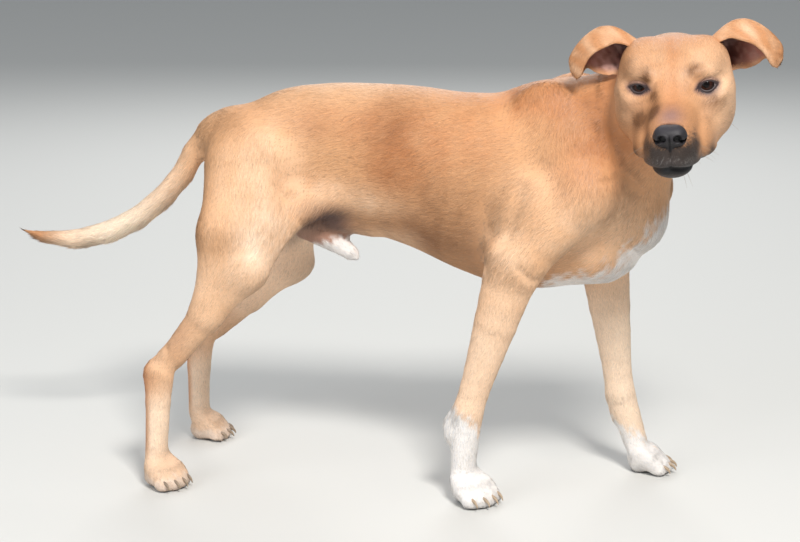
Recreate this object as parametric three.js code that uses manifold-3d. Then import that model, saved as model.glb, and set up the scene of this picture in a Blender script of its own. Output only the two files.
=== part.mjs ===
// A life-size standing dog, male, short-coated and lean, with its head turned to its right.
// Millimetres. +X is the way the body faces, +Y the dog's left, +Z up, and the paws stand on z = 0.
// The body is one smooth field, the blend of its bones and muscles. Each named part is a net drawn
// tight over that field around the part's own axis, then parted from its neighbours by flat cuts.
import * as THREE from "three";
import { mergeVertices } from "three/addons/utils/BufferGeometryUtils.js";
import Module from "manifold-3d";

const wasm = await Module();
wasm.setup();

// ---------------------------------------------------------------- driving dimensions
const GAP = 0.3; // between parts that touch
const SOLE = 0; // height of the flats that the paws stand on
const LEFT = 1;
const RIGHT = -1;

// Stations along the trunk: x, height of the back, height of the belly, half width.
const TRUNK = [
  { x: -232, back: 460, belly: 398, half: 34 },
  { x: -195, back: 477, belly: 364, half: 48 },
  { x: -150, back: 497, belly: 352, half: 51 },
  { x: -95, back: 506, belly: 345, half: 52 },
  { x: -40, back: 508, belly: 316, half: 58 },
  { x: 20, back: 506, belly: 297, half: 70 },
  { x: 80, back: 500, belly: 273, half: 80 },
  { x: 140, back: 502, belly: 256, half: 80 },
  { x: 200, back: 512, belly: 256, half: 70 },
  { x: 262, back: 508, belly: 276, half: 52 },
];
const TRUNK_TAPER = 0.16; // how much wider the ribs are above than below

// The head's own frame: its origin midway between the eyes, x forward, y to its left, z up.
const HEAD_AT = [344, -98, 526];
const HEAD_YAW = -86.5;
const HEAD_PITCH = 10;
const HEAD_ROLL = 3.3;
const EYE = { out: 37, back: 3, up: 0, radius: 12.2 };
const LIDS = { ahead: 9, out: 39, size: [14, 13, 7.5], slant: -8 }; // the almond between the lids

// Joints of each leg, from the body down. Right legs are the near ones of the pose.
const FORE = {
  [RIGHT]: {
    blade: [183, -38, 492],
    shoulder: [240, -66, 388],
    elbow: [160, -78, 304],
    wrist: [104, -74, 114],
    knuckle: [98, -70, 44],
    toward: -34,
    pad: 21,
  },
  [LEFT]: {
    blade: [205, 38, 494],
    shoulder: [293, 60, 380],
    elbow: [244, 76, 300],
    wrist: [270, 88, 104],
    knuckle: [290, 93, 42],
    toward: 2,
    pad: 3,
  },
};
const HIND = {
  [RIGHT]: {
    hip: [-188, -46, 424],
    stifle: [-178, -86, 282],
    hock: [-286, -102, 144],
    knuckle: [-291, -108, 38],
    toward: -26,
  },
  [LEFT]: {
    hip: [-188, 46, 424],
    stifle: [-172, 86, 256],
    hock: [-302, 92, 136],
    knuckle: [-304, 86, 38],
    toward: 6,
  },
};

// Centre line of the tail with its radius, from the croup to the tip.
const TAIL = [
  { at: [-222, 0, 444], radius: 22 },
  { at: [-247, 0, 434], radius: 18.5 },
  { at: [-271, 1, 411], radius: 17.5 },
  { at: [-286, 2, 383], radius: 18 },
  { at: [-314, 3, 351], radius: 19 },
  { at: [-347, 4, 323], radius: 19.5 },
  { at: [-385, 5, 302], radius: 19.5 },
  { at: [-435, 5, 287], radius: 18 },
  { at: [-486, 3, 288], radius: 12.5 },
  { at: [-518, 1, 298], radius: 4 },
];
const TAIL_PARTS = ["tail_root", "tail_middle", "tail_tip"];

const CLAW = { radius: 3.8, reach: 9 }; // reach beyond the toe

const TOES = [-1.5, -0.5, 0.5, 1.5]; // places across a paw, in toe widths

// ---------------------------------------------------------------- fields
// A field gives a point's distance outside a shape, and less than nothing inside it.
const mix = (a, b, t) => a + (b - a) * t;
const mixed = (a, b, t) => a.map((v, i) => mix(v, b[i], t));

// Smooth union: two shapes that come within `reach` flow into each other.
function blend(a, b, reach) {
  const near = Math.max(reach - Math.abs(a - b), 0) / reach;
  return Math.min(a, b) - (near * near * reach) / 4;
}

// Distance to an ellipsoid from an offset given in its own axes.
function ellipsoidDistance(x, y, z, rx, ry, rz) {
  const k0 = Math.hypot(x / rx, y / ry, z / rz);
  const k1 = Math.hypot(x / (rx * rx), y / (ry * ry), z / (rz * rz));
  return k1 < 1e-9 ? -Math.min(rx, ry, rz) : (k0 * (k0 - 1)) / k1;
}

// A muscle or a round mass: an ellipsoid, turned by x, y and z degrees.
function mass(at, size, turn = [0, 0, 0]) {
  const angles = turn.map(THREE.MathUtils.degToRad);
  const m = new THREE.Matrix4().makeRotationFromEuler(new THREE.Euler(...angles)).elements;
  return (px, py, pz) => {
    const x = px - at[0];
    const y = py - at[1];
    const z = pz - at[2];
    return ellipsoidDistance(
      m[0] * x + m[1] * y + m[2] * z,
      m[4] * x + m[5] * y + m[6] * z,
      m[8] * x + m[9] * y + m[10] * z,
      ...size,
    );
  };
}

// A length of limb between two joints. Each end is [half width across, half depth], where
// across is the direction nearest to `side`.
function length(from, to, start, end, side = [0, 1, 0]) {
  const a = new THREE.Vector3(...from);
  const axis = new THREE.Vector3(...to).sub(a);
  const long = axis.length();
  axis.normalize();
  const across = new THREE.Vector3(...side);
  across.addScaledVector(axis, -across.dot(axis)).normalize();
  const deep = new THREE.Vector3().crossVectors(axis, across);
  return (px, py, pz) => {
    const x = px - a.x;
    const y = py - a.y;
    const z = pz - a.z;
    const along = x * axis.x + y * axis.y + z * axis.z;
    const t = Math.min(Math.max(along / long, 0), 1);
    const wide = mix(start[0], end[0], t);
    const depth = mix(start[1], end[1], t);
    return ellipsoidDistance(
      along - t * long,
      x * across.x + y * across.y + z * across.z,
      x * deep.x + y * deep.y + z * deep.z,
      (wide + depth) / 2,
      wide,
      depth,
    );
  };
}

// Smooth curve through stations that are ordered by x: a cubic between neighbours, with the
// slope at each station taken from the two beside it.
function profile(stations, key) {
  const slope = stations.map((s, i) => {
    const before = stations[Math.max(i - 1, 0)];
    const after = stations[Math.min(i + 1, stations.length - 1)];
    return (after[key] - before[key]) / (after.x - before.x);
  });
  return (x) => {
    const last = stations.length - 2;
    let i = 0;
    while (i < last && x > stations[i + 1].x) i += 1;
    const a = stations[i];
    const b = stations[i + 1];
    const span = b.x - a.x;
    const t = Math.min(Math.max((x - a.x) / span, 0), 1);
    const t2 = t * t;
    const t3 = t2 * t;
    return (
      (2 * t3 - 3 * t2 + 1) * a[key] +
      (t3 - 2 * t2 + t) * span * slope[i] +
      (3 * t2 - 2 * t3) * b[key] +
      (t3 - t2) * span * slope[i + 1]
    );
  };
}

// A form drawn by its side and top outlines: rounded sections along x between `top` and `bottom`,
// `half` wide, with a power of 2 for an oval and more for a squarer one.
function outlined(stations, { top, bottom, taper = 0, power = 2, capLength = 20 }) {
  const topAt = profile(stations, top);
  const bottomAt = profile(stations, bottom);
  const halfAt = profile(stations, "half");
  const first = stations[0].x;
  const last = stations[stations.length - 1].x;
  return (x, y, z) => {
    const inside = Math.min(Math.max(x, first), last);
    const high = (topAt(inside) - bottomAt(inside)) / 2;
    const v = (z - bottomAt(inside)) / high - 1;
    const wide = halfAt(inside) * (1 + taper * Math.min(Math.max(v, -1), 1));
    const end = Math.abs(x - inside) / capLength;
    const across = Math.abs(y) / wide;
    const r = (across ** power + Math.abs(v) ** power + end ** power) ** (1 / power);
    return (r - 1) * Math.min(high, wide);
  };
}

// Joins [field, reach] pairs in order.
function joined(parts) {
  return (x, y, z) => {
    let d = 1e9;
    for (const [field, reach] of parts) d = blend(d, field(x, y, z), reach);
    return d;
  };
}

// ---------------------------------------------------------------- head
const headTurn = new THREE.Matrix4()
  .makeTranslation(...HEAD_AT)
  .multiply(new THREE.Matrix4().makeRotationZ(THREE.MathUtils.degToRad(HEAD_YAW)))
  .multiply(new THREE.Matrix4().makeRotationY(THREE.MathUtils.degToRad(HEAD_PITCH)))
  .multiply(new THREE.Matrix4().makeRotationX(THREE.MathUtils.degToRad(HEAD_ROLL)));
const headBack = headTurn.clone().invert();
const fromHead = (p) => new THREE.Vector3(...p).applyMatrix4(headTurn).toArray();
const directionFromHead = (p) => new THREE.Vector3(...p).transformDirection(headTurn).toArray();

// Takes a field of the head's own frame into the body's.
function inHead(field) {
  const m = headBack.elements;
  return (x, y, z) =>
    field(
      m[0] * x + m[4] * y + m[8] * z + m[12],
      m[1] * x + m[5] * y + m[9] * z + m[13],
      m[2] * x + m[6] * y + m[10] * z + m[14],
    );
}

// Stations along the muzzle: bridge, line of the lips' lower edge, half width.
const MUZZLE = [
  { x: -14, bridge: 10, lip: -68, half: 36 },
  { x: 4, bridge: 4, lip: -70, half: 32 },
  { x: 22, bridge: -3, lip: -71, half: 31 },
  { x: 45, bridge: -9, lip: -71, half: 30 },
  { x: 68, bridge: -13, lip: -70, half: 28 },
  { x: 84, bridge: -17, lip: -68, half: 25 },
];

function headField() {
  const both = (field) => [field(LEFT), field(RIGHT)];
  return joined([
    [mass([-46, 0, -1], [64, 56, 46]), 12], // braincase
    [mass([-88, 0, -10], [40, 46, 36]), 20], // nape
    [outlined(MUZZLE, { top: "bridge", bottom: "lip", power: 2.5, capLength: 16 }), 24],
    ...both((s) => [mass([-26, s * 42, -30], [42, 28, 42]), 24]), // cheek muscle
    ...both((s) => [mass([-8, s * 32, 15], [20, 21, 12], [0, 0, s * -12]), 10]), // brow
    ...both((s) => [mass([-22, s * 51, -9], [30, 16, 14]), 12]), // cheekbone
    ...both((s) => [mass([62, s * 17, -54], [28, 16, 18]), 8]), // flews
    ...both((s) => [mass([-46, s * 40, 13], [40, 23, 26]), 16]), // temple
    ...both((s) => [mass([14, s * 34, -56], [36, 14, 24]), 16]), // corner of the mouth
    [mass([64, 0, -71], [26, 21, 14]), 8], // chin
    [length([62, 0, -68], [-6, 0, -66], [23, 15], [44, 21]), 14], // lower jaw
    [mass([-46, 0, -48], [40, 48, 34]), 20], // throat
  ]);
}

// Edges of an ear in the head's frame, from root to tip: how far out, and the height and the
// depth of its lower hind edge, of its fold, and of the front edge of the flap.
const EAR_DEPTH = 3;
const EAR_ROOT = { out: 50, up: 20 };
const EAR_DROOP = { [RIGHT]: 5, [LEFT]: 0 }; // how far each ear hangs below the mean, in degrees
const EAR = [
  { hind: [-64, 52, -6], wall: [-76, 44, 22], fold: [-62, 40, 38], flap: [-46, 44, 36] },
  { hind: [-62, 71, -1], wall: [-78, 65, 27], fold: [-60, 60, 51], flap: [-42, 61, 41] },
  { hind: [-60, 81, 0], wall: [-76, 77, 32], fold: [-58, 76, 57], flap: [-36, 76, 40] },
  { hind: [-58, 93, 5], wall: [-71, 91, 35], fold: [-56, 91, 54], flap: [-34, 90, 35] },
  { hind: [-54, 103, 13], wall: [-64, 106, 30], fold: [-53, 107, 43], flap: [-36, 101, 24] },
  { hind: [-53, 110, 6], wall: [-59, 117, 17], fold: [-52, 120, 26], flap: [-39, 109, 9] },
  { hind: [-50, 114, 3], wall: [-54, 119, 6], fold: [-50, 121, 11], flap: [-44, 115, 4] },
];

// Nose leather, in the head's frame.
const noseField = (grow) => {
  const field = joined([
    [mass([91, 0, -29], [14, 14, 13]), 6],
    [mass([92, 9.5, -29], [11, 9, 11]), 6],
    [mass([92, -9.5, -29], [11, 9, 11]), 6],
    [mass([90, 0, -43], [8, 5, 8]), 6],
  ]);
  return (x, y, z) => field(x, y, z) - grow;
};

// ---------------------------------------------------------------- trunk, neck and tail
const NECK = [
  { at: [246, 0, 424], wide: 62, deep: 84 },
  { at: [298, 8, 466], wide: 60, deep: 70 },
  { at: [334, 0, 516], wide: 56, deep: 60 },
];

function chain(stations, size, reach) {
  return stations.slice(1).map((s, i) => {
    const before = stations[i];
    return [length(before.at, s.at, size(before), size(s)), reach];
  });
}

const neckField = joined(chain(NECK, (s) => [s.wide, s.deep], 6));
const tailField = joined(chain(TAIL, (s) => [s.radius, s.radius], 1.5));

function trunkField() {
  const ribs = outlined(TRUNK, {
    top: "back",
    bottom: "belly",
    taper: TRUNK_TAPER,
    power: 2.15,
    capLength: 26,
  });
  return joined([
    [ribs, 1],
    [mass([-198, 0, 428], [46, 58, 38]), 20], // croup
    [mass([296, 0, 356], [40, 48, 50]), 30], // breast
    [mass([185, 0, 484], [48, 34, 30]), 20], // withers
    [mass([250, 0, 300], [48, 36, 26]), 24], // fore end of the breastbone
    [length([-124, 0, 332], [-36, 0, 330], [20, 18], [24, 18]), 12], // middle of the belly
    [length([140, 0, 468], [256, -12, 490], [22, 24], [30, 28]), 20], // crest of the neck
  ]);
}

// ---------------------------------------------------------------- legs
function foreLegField(side) {
  const { blade, shoulder, elbow, wrist, knuckle, pad } = FORE[side];
  const upper = mixed(shoulder, elbow, 0.5);
  const arm = (t) => mixed(elbow, wrist, t);
  return [
    [length(blade, shoulder, [18, 34], [31, 38]), 20], // shoulder blade and its muscles
    [length(shoulder, elbow, [31, 38], [26, 35]), 20], // upper arm
    [mass([upper[0] - 26, upper[1], upper[2] + 22], [44, 26, 50], [0, 34, 0]), 12], // triceps
    [mass([elbow[0] - 14, elbow[1], elbow[2] - 2], [17, 15, 20]), 12], // point of the elbow
    [length(elbow, arm(0.4), [25, 37], [20, 29]), 16],
    [length(arm(0.4), arm(0.85), [20, 29], [16.5, 21]), 3],
    [length(arm(0.85), wrist, [16.5, 21], [19, 21.5]), 3],
    [mass([wrist[0] - pad, wrist[1], wrist[2] - 22], [13, 12, 24]), 10], // wrist pad
    [length(wrist, knuckle, [19, 22], [20, 18]), 4],
  ];
}

function hindLegField(side) {
  const { hip, stifle, hock, knuckle } = HIND[side];
  const shank = (t) => mixed(stifle, hock, t);
  const back = [stifle[0] - 28, stifle[1] + side * 2, stifle[2] + 44];
  return [
    [length([hip[0] + 4, hip[1], hip[2] - 16], stifle, [36, 50], [26, 36]), 30], // thigh
    [length([hip[0] - 14, hip[1] + side * 6, hip[2] - 30], back, [30, 31], [25, 28]), 26], // hamstrings
    [mass([stifle[0] - 2, stifle[1], stifle[2] - 2], [24, 23, 27]), 14], // knee
    [length(back, shank(0.45), [25, 26], [16, 20]), 24], // calf
    [length(stifle, shank(0.45), [24, 29], [18, 23]), 16],
    [length(shank(0.45), shank(0.85), [18, 23], [13.5, 19]), 4],
    [length(shank(0.8), [hock[0] - 12, hock[1], hock[2] + 10], [9, 11], [9, 10]), 12], // heel cord
    [length([hock[0] - 15, hock[1], hock[2] + 6], [hock[0] - 4, hock[1], hock[2] - 30], [12, 11], [13, 13]), 8],
    [length(hock, [hock[0] - 3, hock[1], hock[2] - 36], [17, 22], [16, 18.5]), 5],
    [length([hock[0] - 3, hock[1], hock[2] - 36], knuckle, [16, 18.5], [19, 16]), 4],
  ];
}

// Where a paw's toes lie: each toe's root, knuckle and tip, fanned about the leg's last joint.
function toesOf({ knuckle, toward }, { reach, width }) {
  const turn = THREE.MathUtils.degToRad(toward);
  const place = (forward, out, up) => [
    knuckle[0] + forward * Math.cos(turn) - out * Math.sin(turn),
    knuckle[1] + forward * Math.sin(turn) + out * Math.cos(turn),
    up,
  ];
  return TOES.map((across) => {
    const out = across * width;
    const long = reach - Math.abs(across) * 0.13 * reach;
    return {
      place,
      root: place(2, out * 0.7, 30),
      crown: place(long * 0.52, out * 0.95, 21),
      tip: place(long * 0.86, out, 7.5),
      out,
      long,
    };
  });
}

const PAW = { fore: { reach: 50, width: 14.1 }, hind: { reach: 44, width: 13 } };

function pawField(leg, size) {
  const toes = toesOf(leg, size);
  const { place } = toes[0];
  const fat = size.width * 0.64;
  return [
    ...toes.flatMap((t) => [
      [length(t.root, t.crown, [fat, 13], [fat, 12]), 3],
      [length(t.crown, t.tip, [fat, 12], [fat * 0.92, 10.5]), 3],
    ]),
    [mass(place(5, 0, 11), [21, 20, 14]), 8], // main pad
  ];
}

// ---------------------------------------------------------------- whole body
const SHEATH = [
  { at: [-126, 0, 318], sizes: [14, 16] },
  { at: [-92, 0, 306], sizes: [14, 17] },
  { at: [-63, -2, 290], sizes: [12, 12.5] },
  { at: [-56, -2, 285], sizes: [8, 8] },
];
const sheathField = joined(
  SHEATH.slice(1).map((b, i) => [length(SHEATH[i].at, b.at, SHEATH[i].sizes, b.sizes), i + 1]),
);

const body = joined([
  [trunkField(), 1],
  [neckField, 40],
  [inHead(headField()), 18],
  [tailField, 22],
  ...foreLegField(RIGHT),
  ...foreLegField(LEFT),
  ...hindLegField(RIGHT),
  ...hindLegField(LEFT),
  ...[RIGHT, LEFT].flatMap((s) => pawField(FORE[s], PAW.fore)),
  ...[RIGHT, LEFT].flatMap((s) => pawField(HIND[s], PAW.hind)),
  // fold of skin from the flank to the knee
  ...[RIGHT, LEFT].map((s) => [
    length([-82, s * 28, 366], [-150, s * 72, 320], [8, 14], [12, 22]),
    34,
  ]),
]);

// ---------------------------------------------------------------- nets
// A net over `field` around a path, as a capsule is: rings of `around` knots square to the path,
// and `cap` more rings at each end that close to a pole. Each knot is where a straight line from
// the path leaves the field.
const STEP = 3;
const HALVINGS = 14;
const FURTHEST = 260;

function leaving(field, o, d) {
  let near = 0;
  let far = STEP;
  while (far < FURTHEST && field(o.x + d.x * far, o.y + d.y * far, o.z + d.z * far) < 0) {
    near = far;
    far += STEP;
  }
  for (let i = 0; i < HALVINGS; i += 1) {
    const middle = (near + far) / 2;
    const inside = field(o.x + d.x * middle, o.y + d.y * middle, o.z + d.z * middle) < 0;
    if (inside) near = middle;
    else far = middle;
  }
  return new THREE.Vector3().copy(o).addScaledVector(d, near);
}

function net(field, path, { rings, around, cap = 4 }) {
  const curve = new THREE.CatmullRomCurve3(path.map((p) => new THREE.Vector3(...p)));
  const { tangents, normals, binormals } = curve.computeFrenetFrames(rings, false);
  const rows = [];
  const ring = (i, tilt) => {
    const row = [];
    for (let j = 0; j < around; j += 1) {
      const angle = (j / around) * 2 * Math.PI;
      const d = new THREE.Vector3()
        .addScaledVector(normals[i], Math.cos(angle) * Math.cos(tilt))
        .addScaledVector(binormals[i], Math.sin(angle) * Math.cos(tilt))
        .addScaledVector(tangents[i], Math.sin(tilt));
      row.push(leaving(field, curve.getPointAt(i / rings), d));
    }
    return row;
  };
  const tiltOf = (k) => (k / (cap + 1)) * (Math.PI / 2);
  for (let k = cap; k > 0; k -= 1) rows.push(ring(0, -tiltOf(k)));
  for (let i = 0; i <= rings; i += 1) rows.push(ring(i, 0));
  for (let k = 1; k <= cap; k += 1) rows.push(ring(rings, tiltOf(k)));
  const back = tangents[0].clone().negate();
  const poles = [
    leaving(field, curve.getPointAt(0), back),
    leaving(field, curve.getPointAt(1), tangents[rings]),
  ];
  return closed(rows, poles);
}

// Closed surface through rows of knots, with a pole beyond the first row and the last.
function closed(rows, poles) {
  const around = rows[0].length;
  const knots = [...rows.flat(), ...poles];
  const faces = [];
  const last = rows.length - 1;
  rows.forEach((row, i) => {
    row.forEach((_, j) => {
      const a = i * around + j;
      const b = i * around + ((j + 1) % around);
      if (i < last) faces.push(a, b, a + around, b, b + around, a + around);
      else faces.push(a, b, knots.length - 1);
      if (i === 0) faces.push(b, a, knots.length - 2);
    });
  });
  const geometry = new THREE.BufferGeometry().setFromPoints(knots);
  geometry.setIndex(faces);
  return geometry;
}

// A cupped sheet: curves across it through each station's edges, and the same again laid
// `depth` off on the outer side, joined round the border into a closed tube of knots.
function sheet(stations, depth, { along, over }) {
  const lines = ["hind", "wall", "fold", "flap"].map(
    (key) => new THREE.CatmullRomCurve3(stations.map((s) => new THREE.Vector3(...s[key]))),
  );
  const rows = [];
  for (let i = 0; i <= along; i += 1) {
    const bow = new THREE.CatmullRomCurve3(lines.map((line) => line.getPoint(i / along)));
    const heart = bow.getPoint(0).add(bow.getPoint(1)).multiplyScalar(0.5);
    const inner = [];
    const outer = [];
    for (let j = 0; j <= over; j += 1) {
      const knot = bow.getPoint(j / over);
      const away = knot.clone().sub(heart);
      away.setLength(depth * Math.min(1, 0.35 + away.length() / 12));
      inner.push(knot);
      outer.push(knot.clone().add(away));
    }
    rows.push([...inner, ...outer.reverse()]);
  }
  const middle = (row) =>
    row.reduce((sum, p) => sum.add(p), new THREE.Vector3()).multiplyScalar(1 / row.length);
  return closed(rows, [middle(rows[0]), middle(rows[along])]);
}

// ---------------------------------------------------------------- solids and cuts
function solid(geometry) {
  const plain = geometry.clone();
  plain.deleteAttribute("normal");
  plain.deleteAttribute("uv");
  const merged = mergeVertices(plain, 1e-3);
  return new wasm.Manifold(
    new wasm.Mesh({
      numProp: 3,
      vertProperties: merged.attributes.position.array,
      triVerts: new Uint32Array(merged.index.array),
    }),
  );
}

function geometryOf(manifold) {
  const { numProp, numVert, vertProperties, triVerts } = manifold.getMesh();
  const position = new Float32Array(numVert * 3);
  for (let i = 0; i < numVert; i += 1) {
    position.set(vertProperties.subarray(i * numProp, i * numProp + 3), i * 3);
  }
  return new THREE.BufferGeometry()
    .setAttribute("position", new THREE.BufferAttribute(position, 3))
    .setIndex(new THREE.BufferAttribute(triVerts, 1));
}

// A cut is a plane through `at` whose normal points to the part that it frees.
const cut = (at, normal) => ({
  at: new THREE.Vector3(...at),
  normal: new THREE.Vector3(...normal).normalize(),
});
const turned = ({ at, normal }) => ({ at, normal: normal.clone().negate() });

const HUGE = 1400;

// The half of space in front of a cut, less `back`, as a huge block.
function block({ at, normal }, back = 0) {
  const box = new THREE.BoxGeometry(HUGE, HUGE, HUGE);
  box.translate(0, 0, HUGE / 2 + back);
  box.applyQuaternion(
    new THREE.Quaternion().setFromUnitVectors(new THREE.Vector3(0, 0, 1), normal),
  );
  box.translate(at.x, at.y, at.z);
  return solid(box);
}

// The largest piece that a cut leaves, without any crumbs.
const main = (made) => made.decompose().reduce((a, b) => (a.volume() > b.volume() ? a : b));

// A region is a list of cuts, and is the space in front of them all.
const region = (cuts, back = 0) => cuts.map((c) => block(c, back)).reduce((a, b) => a.intersect(b));

// How far a point is outside a region.
const outside = (cuts, x, y, z) =>
  Math.max(
    ...cuts.map(
      ({ at, normal: n }) => -(n.x * (x - at.x) + n.y * (y - at.y) + n.z * (z - at.z)),
    ),
  );

// A part of the body: a net over the field where the part lies, cut flat at its borders.
// `within` is its region, and `without` are the regions of the parts that it borders on.
const MARGIN = 26;
function part(path, net_, within, without = []) {
  const clipped = (x, y, z) => {
    let d = body(x, y, z);
    if (within.length) d = Math.max(d, outside(within, x, y, z) - MARGIN);
    for (const other of without) d = Math.max(d, -outside(other, x, y, z) - MARGIN);
    return d;
  };
  let made = solid(net(clipped, path, net_));
  if (within.length) made = made.intersect(region(within, GAP));
  for (const other of without) made = made.subtract(region(other));
  return main(made);
}

// ---------------------------------------------------------------- borders
const neckCut = cut([252, 0, 440], [0.86, 0, 0.5]);
const headCut = cut([322, -18, 497], [0.62, -0.7, 0.35]);
const tailCut = cut([-240, 0, 442], [-0.9, 0, 0.44]);
const floorCut = cut([0, 0, SOLE - GAP], [0, 0, 1]);

// The lower jaw lies below the lips and before the corners of the mouth.
const inHeadCut = (at, normal) => cut(fromHead(at), directionFromHead(normal));
const jawCuts = [inHeadCut([60, 0, -68], [0, 0, -1]), inHeadCut([24, 0, -68], [1, 0, -0.25])];

const elbowCut = (s) => cut([FORE[s].elbow[0], s * 62, 306], [0, s * 0.5, -0.86]);
const ribsCut = (s) => cut([0, s * 46, 0], [0, s, 0]);
const forearmCuts = (s) => [elbowCut(s), ribsCut(s)];
const upperArmCuts = (s) => [
  turned(elbowCut(s)),
  ribsCut(s),
  cut([FORE[s].shoulder[0] - 40, 0, 414], [-0.2, 0, -0.98]),
  cut([FORE[s].elbow[0] - 54, 0, 300], [0.94, 0, -0.34]),
];
const thighCuts = (s) => [
  cut([-165, s * 60, 384], [-0.3, s * 0.42, -0.86]),
  cut([-96, s * 60, 360], [-0.96, 0, -0.28]),
  cut([0, s * 4, 0], [0, s, 0]),
];
const across = (from, to, t) => cut(mixed(from, to, t), to.map((v, i) => v - from[i]));
const wristCut = (s) => across(FORE[s].elbow, FORE[s].wrist, 0.94);
const below = ([x, y, z], drop) => [x, y, z - drop];
const kneeCut = (s) => {
  const [x, y, z] = HIND[s].stifle;
  return cut([x - 20, y, z - 32], [-0.5, 0, -0.86]);
};
const hockCut = (s) => cut(below(HIND[s].hock, 26), [0, 0, -1]);

// ---------------------------------------------------------------- parts
const parts = {};

// The space that the body fills around a path, with a gap about it, for what grows from there.
const room = (path, net_) => solid(net((x, y, z) => body(x, y, z) - 2 * GAP, path, net_));
const NECK_NET = { rings: 4, around: 24, cap: 3 };

function makeTrunk() {
  const path = [
    [-196, 0, 428],
    [-120, 0, 428],
    [0, 0, 410],
    [110, 0, 390],
    [190, 0, 395],
    [236, 0, 398],
  ];
  const borders = [LEFT, RIGHT].flatMap((s) => [forearmCuts(s), upperArmCuts(s), thighCuts(s)]);
  parts.trunk = part(path, { rings: 14, around: 24, cap: 3 }, [turned(neckCut)], [
    [tailCut],
    ...borders,
  ]);
  const neckPath = [[252, 0, 424], [290, 6, 462], [322, 0, 498]];
  parts.neck = part(neckPath, NECK_NET, [neckCut, turned(headCut)], [
    upperArmCuts(LEFT),
    upperArmCuts(RIGHT),
    forearmCuts(LEFT),
    forearmCuts(RIGHT),
  ]);
}

function makeSheath() {
  const net_ = { rings: 4, around: 8, cap: 2 };
  const path = SHEATH.slice(0, 3).map((station) => station.at);
  const made = solid(net(sheathField, path, net_));
  parts.sheath = main(made.subtract(parts.trunk));
}

function makeForeLeg(s, name) {
  const { shoulder, elbow, wrist, knuckle } = FORE[s];
  const [, y, z] = shoulder;
  const centre = toesOf(FORE[s], PAW.fore)[0].place;
  parts[`upper_arm_${name}`] = part(
    [[shoulder[0] - 14, y, z - 6], [elbow[0] + 12, elbow[1], elbow[2] + 28]],
    { rings: 4, around: 16, cap: 2 },
    upperArmCuts(s),
  );
  parts[`forearm_${name}`] = part(
    [mixed(elbow, wrist, 0.02), mixed(elbow, wrist, 0.98)],
    { rings: 7, around: 14, cap: 1 },
    [...forearmCuts(s), turned(wristCut(s))],
  );
  parts[`forepaw_${name}`] = part(
    [wrist, mixed(wrist, knuckle, 0.85), centre(10, 0, 28), centre(34, 0, 17)],
    { rings: 6, around: 18, cap: 3 },
    [wristCut(s), floorCut],
  );
  makeClaws(FORE[s], PAW.fore, `fore_claw_${name}`);
}

function makeHindLeg(s, name) {
  const { hip, stifle, hock, knuckle } = HIND[s];
  const [x, y, z] = stifle;
  const centre = toesOf(HIND[s], PAW.hind)[0].place;
  parts[`thigh_${name}`] = part(
    [mixed(hip, stifle, 0.3), [x - 18, y, z + 6]],
    { rings: 5, around: 18, cap: 2 },
    thighCuts(s).concat(turned(kneeCut(s))),
  );
  parts[`shank_${name}`] = part(
    [mixed(stifle, hock, 0.12), mixed(stifle, hock, 0.6), hock, below(hock, 30)],
    { rings: 8, around: 14, cap: 1 },
    [kneeCut(s), turned(hockCut(s))],
  );
  parts[`hindpaw_${name}`] = part(
    [below(hock, 22), mixed(hock, knuckle, 0.85), centre(8, 0, 27), centre(30, 0, 17)],
    { rings: 6, around: 18, cap: 3 },
    [hockCut(s), floorCut],
  );
  makeClaws(HIND[s], PAW.hind, `hind_claw_${name}`);
}

// One claw to each toe, pointing on and a little down, in a socket of its own.
function makeClaws(leg, size, name) {
  toesOf(leg, size).forEach(({ place, out, long }, i) => {
    const root = new THREE.Vector3(...place(long * 0.9, out, 14));
    const tip = new THREE.Vector3(...place(long + CLAW.reach, out * 1.03, 5));
    const cone = new THREE.ConeGeometry(CLAW.radius, root.distanceTo(tip), 5);
    const middle = root.clone().lerp(tip, 0.5);
    const up = new THREE.Vector3(0, 1, 0);
    cone.applyQuaternion(
      new THREE.Quaternion().setFromUnitVectors(up, tip.clone().sub(root).normalize()),
    );
    cone.translate(middle.x, middle.y, middle.z);
    const toe = [root.clone().lerp(tip, -0.6).toArray(), root.toArray()];
    const flesh = room(toe, { rings: 1, around: 8, cap: 2 });
    parts[`${name}_${i + 1}`] = main(solid(cone).subtract(flesh));
  });
}

function makeTail() {
  const last = TAIL.length - 1;
  const middle = (t) => {
    const i = Math.min(Math.floor(t * last), last - 1);
    return mixed(TAIL[i].at, TAIL[i + 1].at, t * last - i);
  };
  const crossing = (t) => across(middle(t - 0.04), middle(t + 0.04), 0.5);
  const borders = [tailCut, crossing(0.44), crossing(0.72)];
  const spans = [[0.1, 0.5], [0.36, 0.78], [0.64, 0.96]];
  TAIL_PARTS.forEach((name, i) => {
    const path = [0, 1, 2, 3, 4].map((k) => middle(mix(...spans[i], k / 4)));
    const within = [borders[i]];
    if (i < 2) within.push(turned(borders[i + 1]));
    parts[name] = part(path, { rings: 5, around: 10, cap: 2 }, within);
  });
}

const noseSolid = (grow) => {
  const path = [[88, 0, -31], [94, 0, -31]].map(fromHead);
  return solid(net(inHead(noseField(grow)), path, { rings: 1, around: 14, cap: 3 }));
};

const eyeBall = (s, grow) => {
  const ball = new THREE.SphereGeometry(EYE.radius + grow, 12, 8);
  ball.translate(...fromHead([-EYE.back, s * EYE.out, EYE.up]));
  return solid(ball);
};

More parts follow.
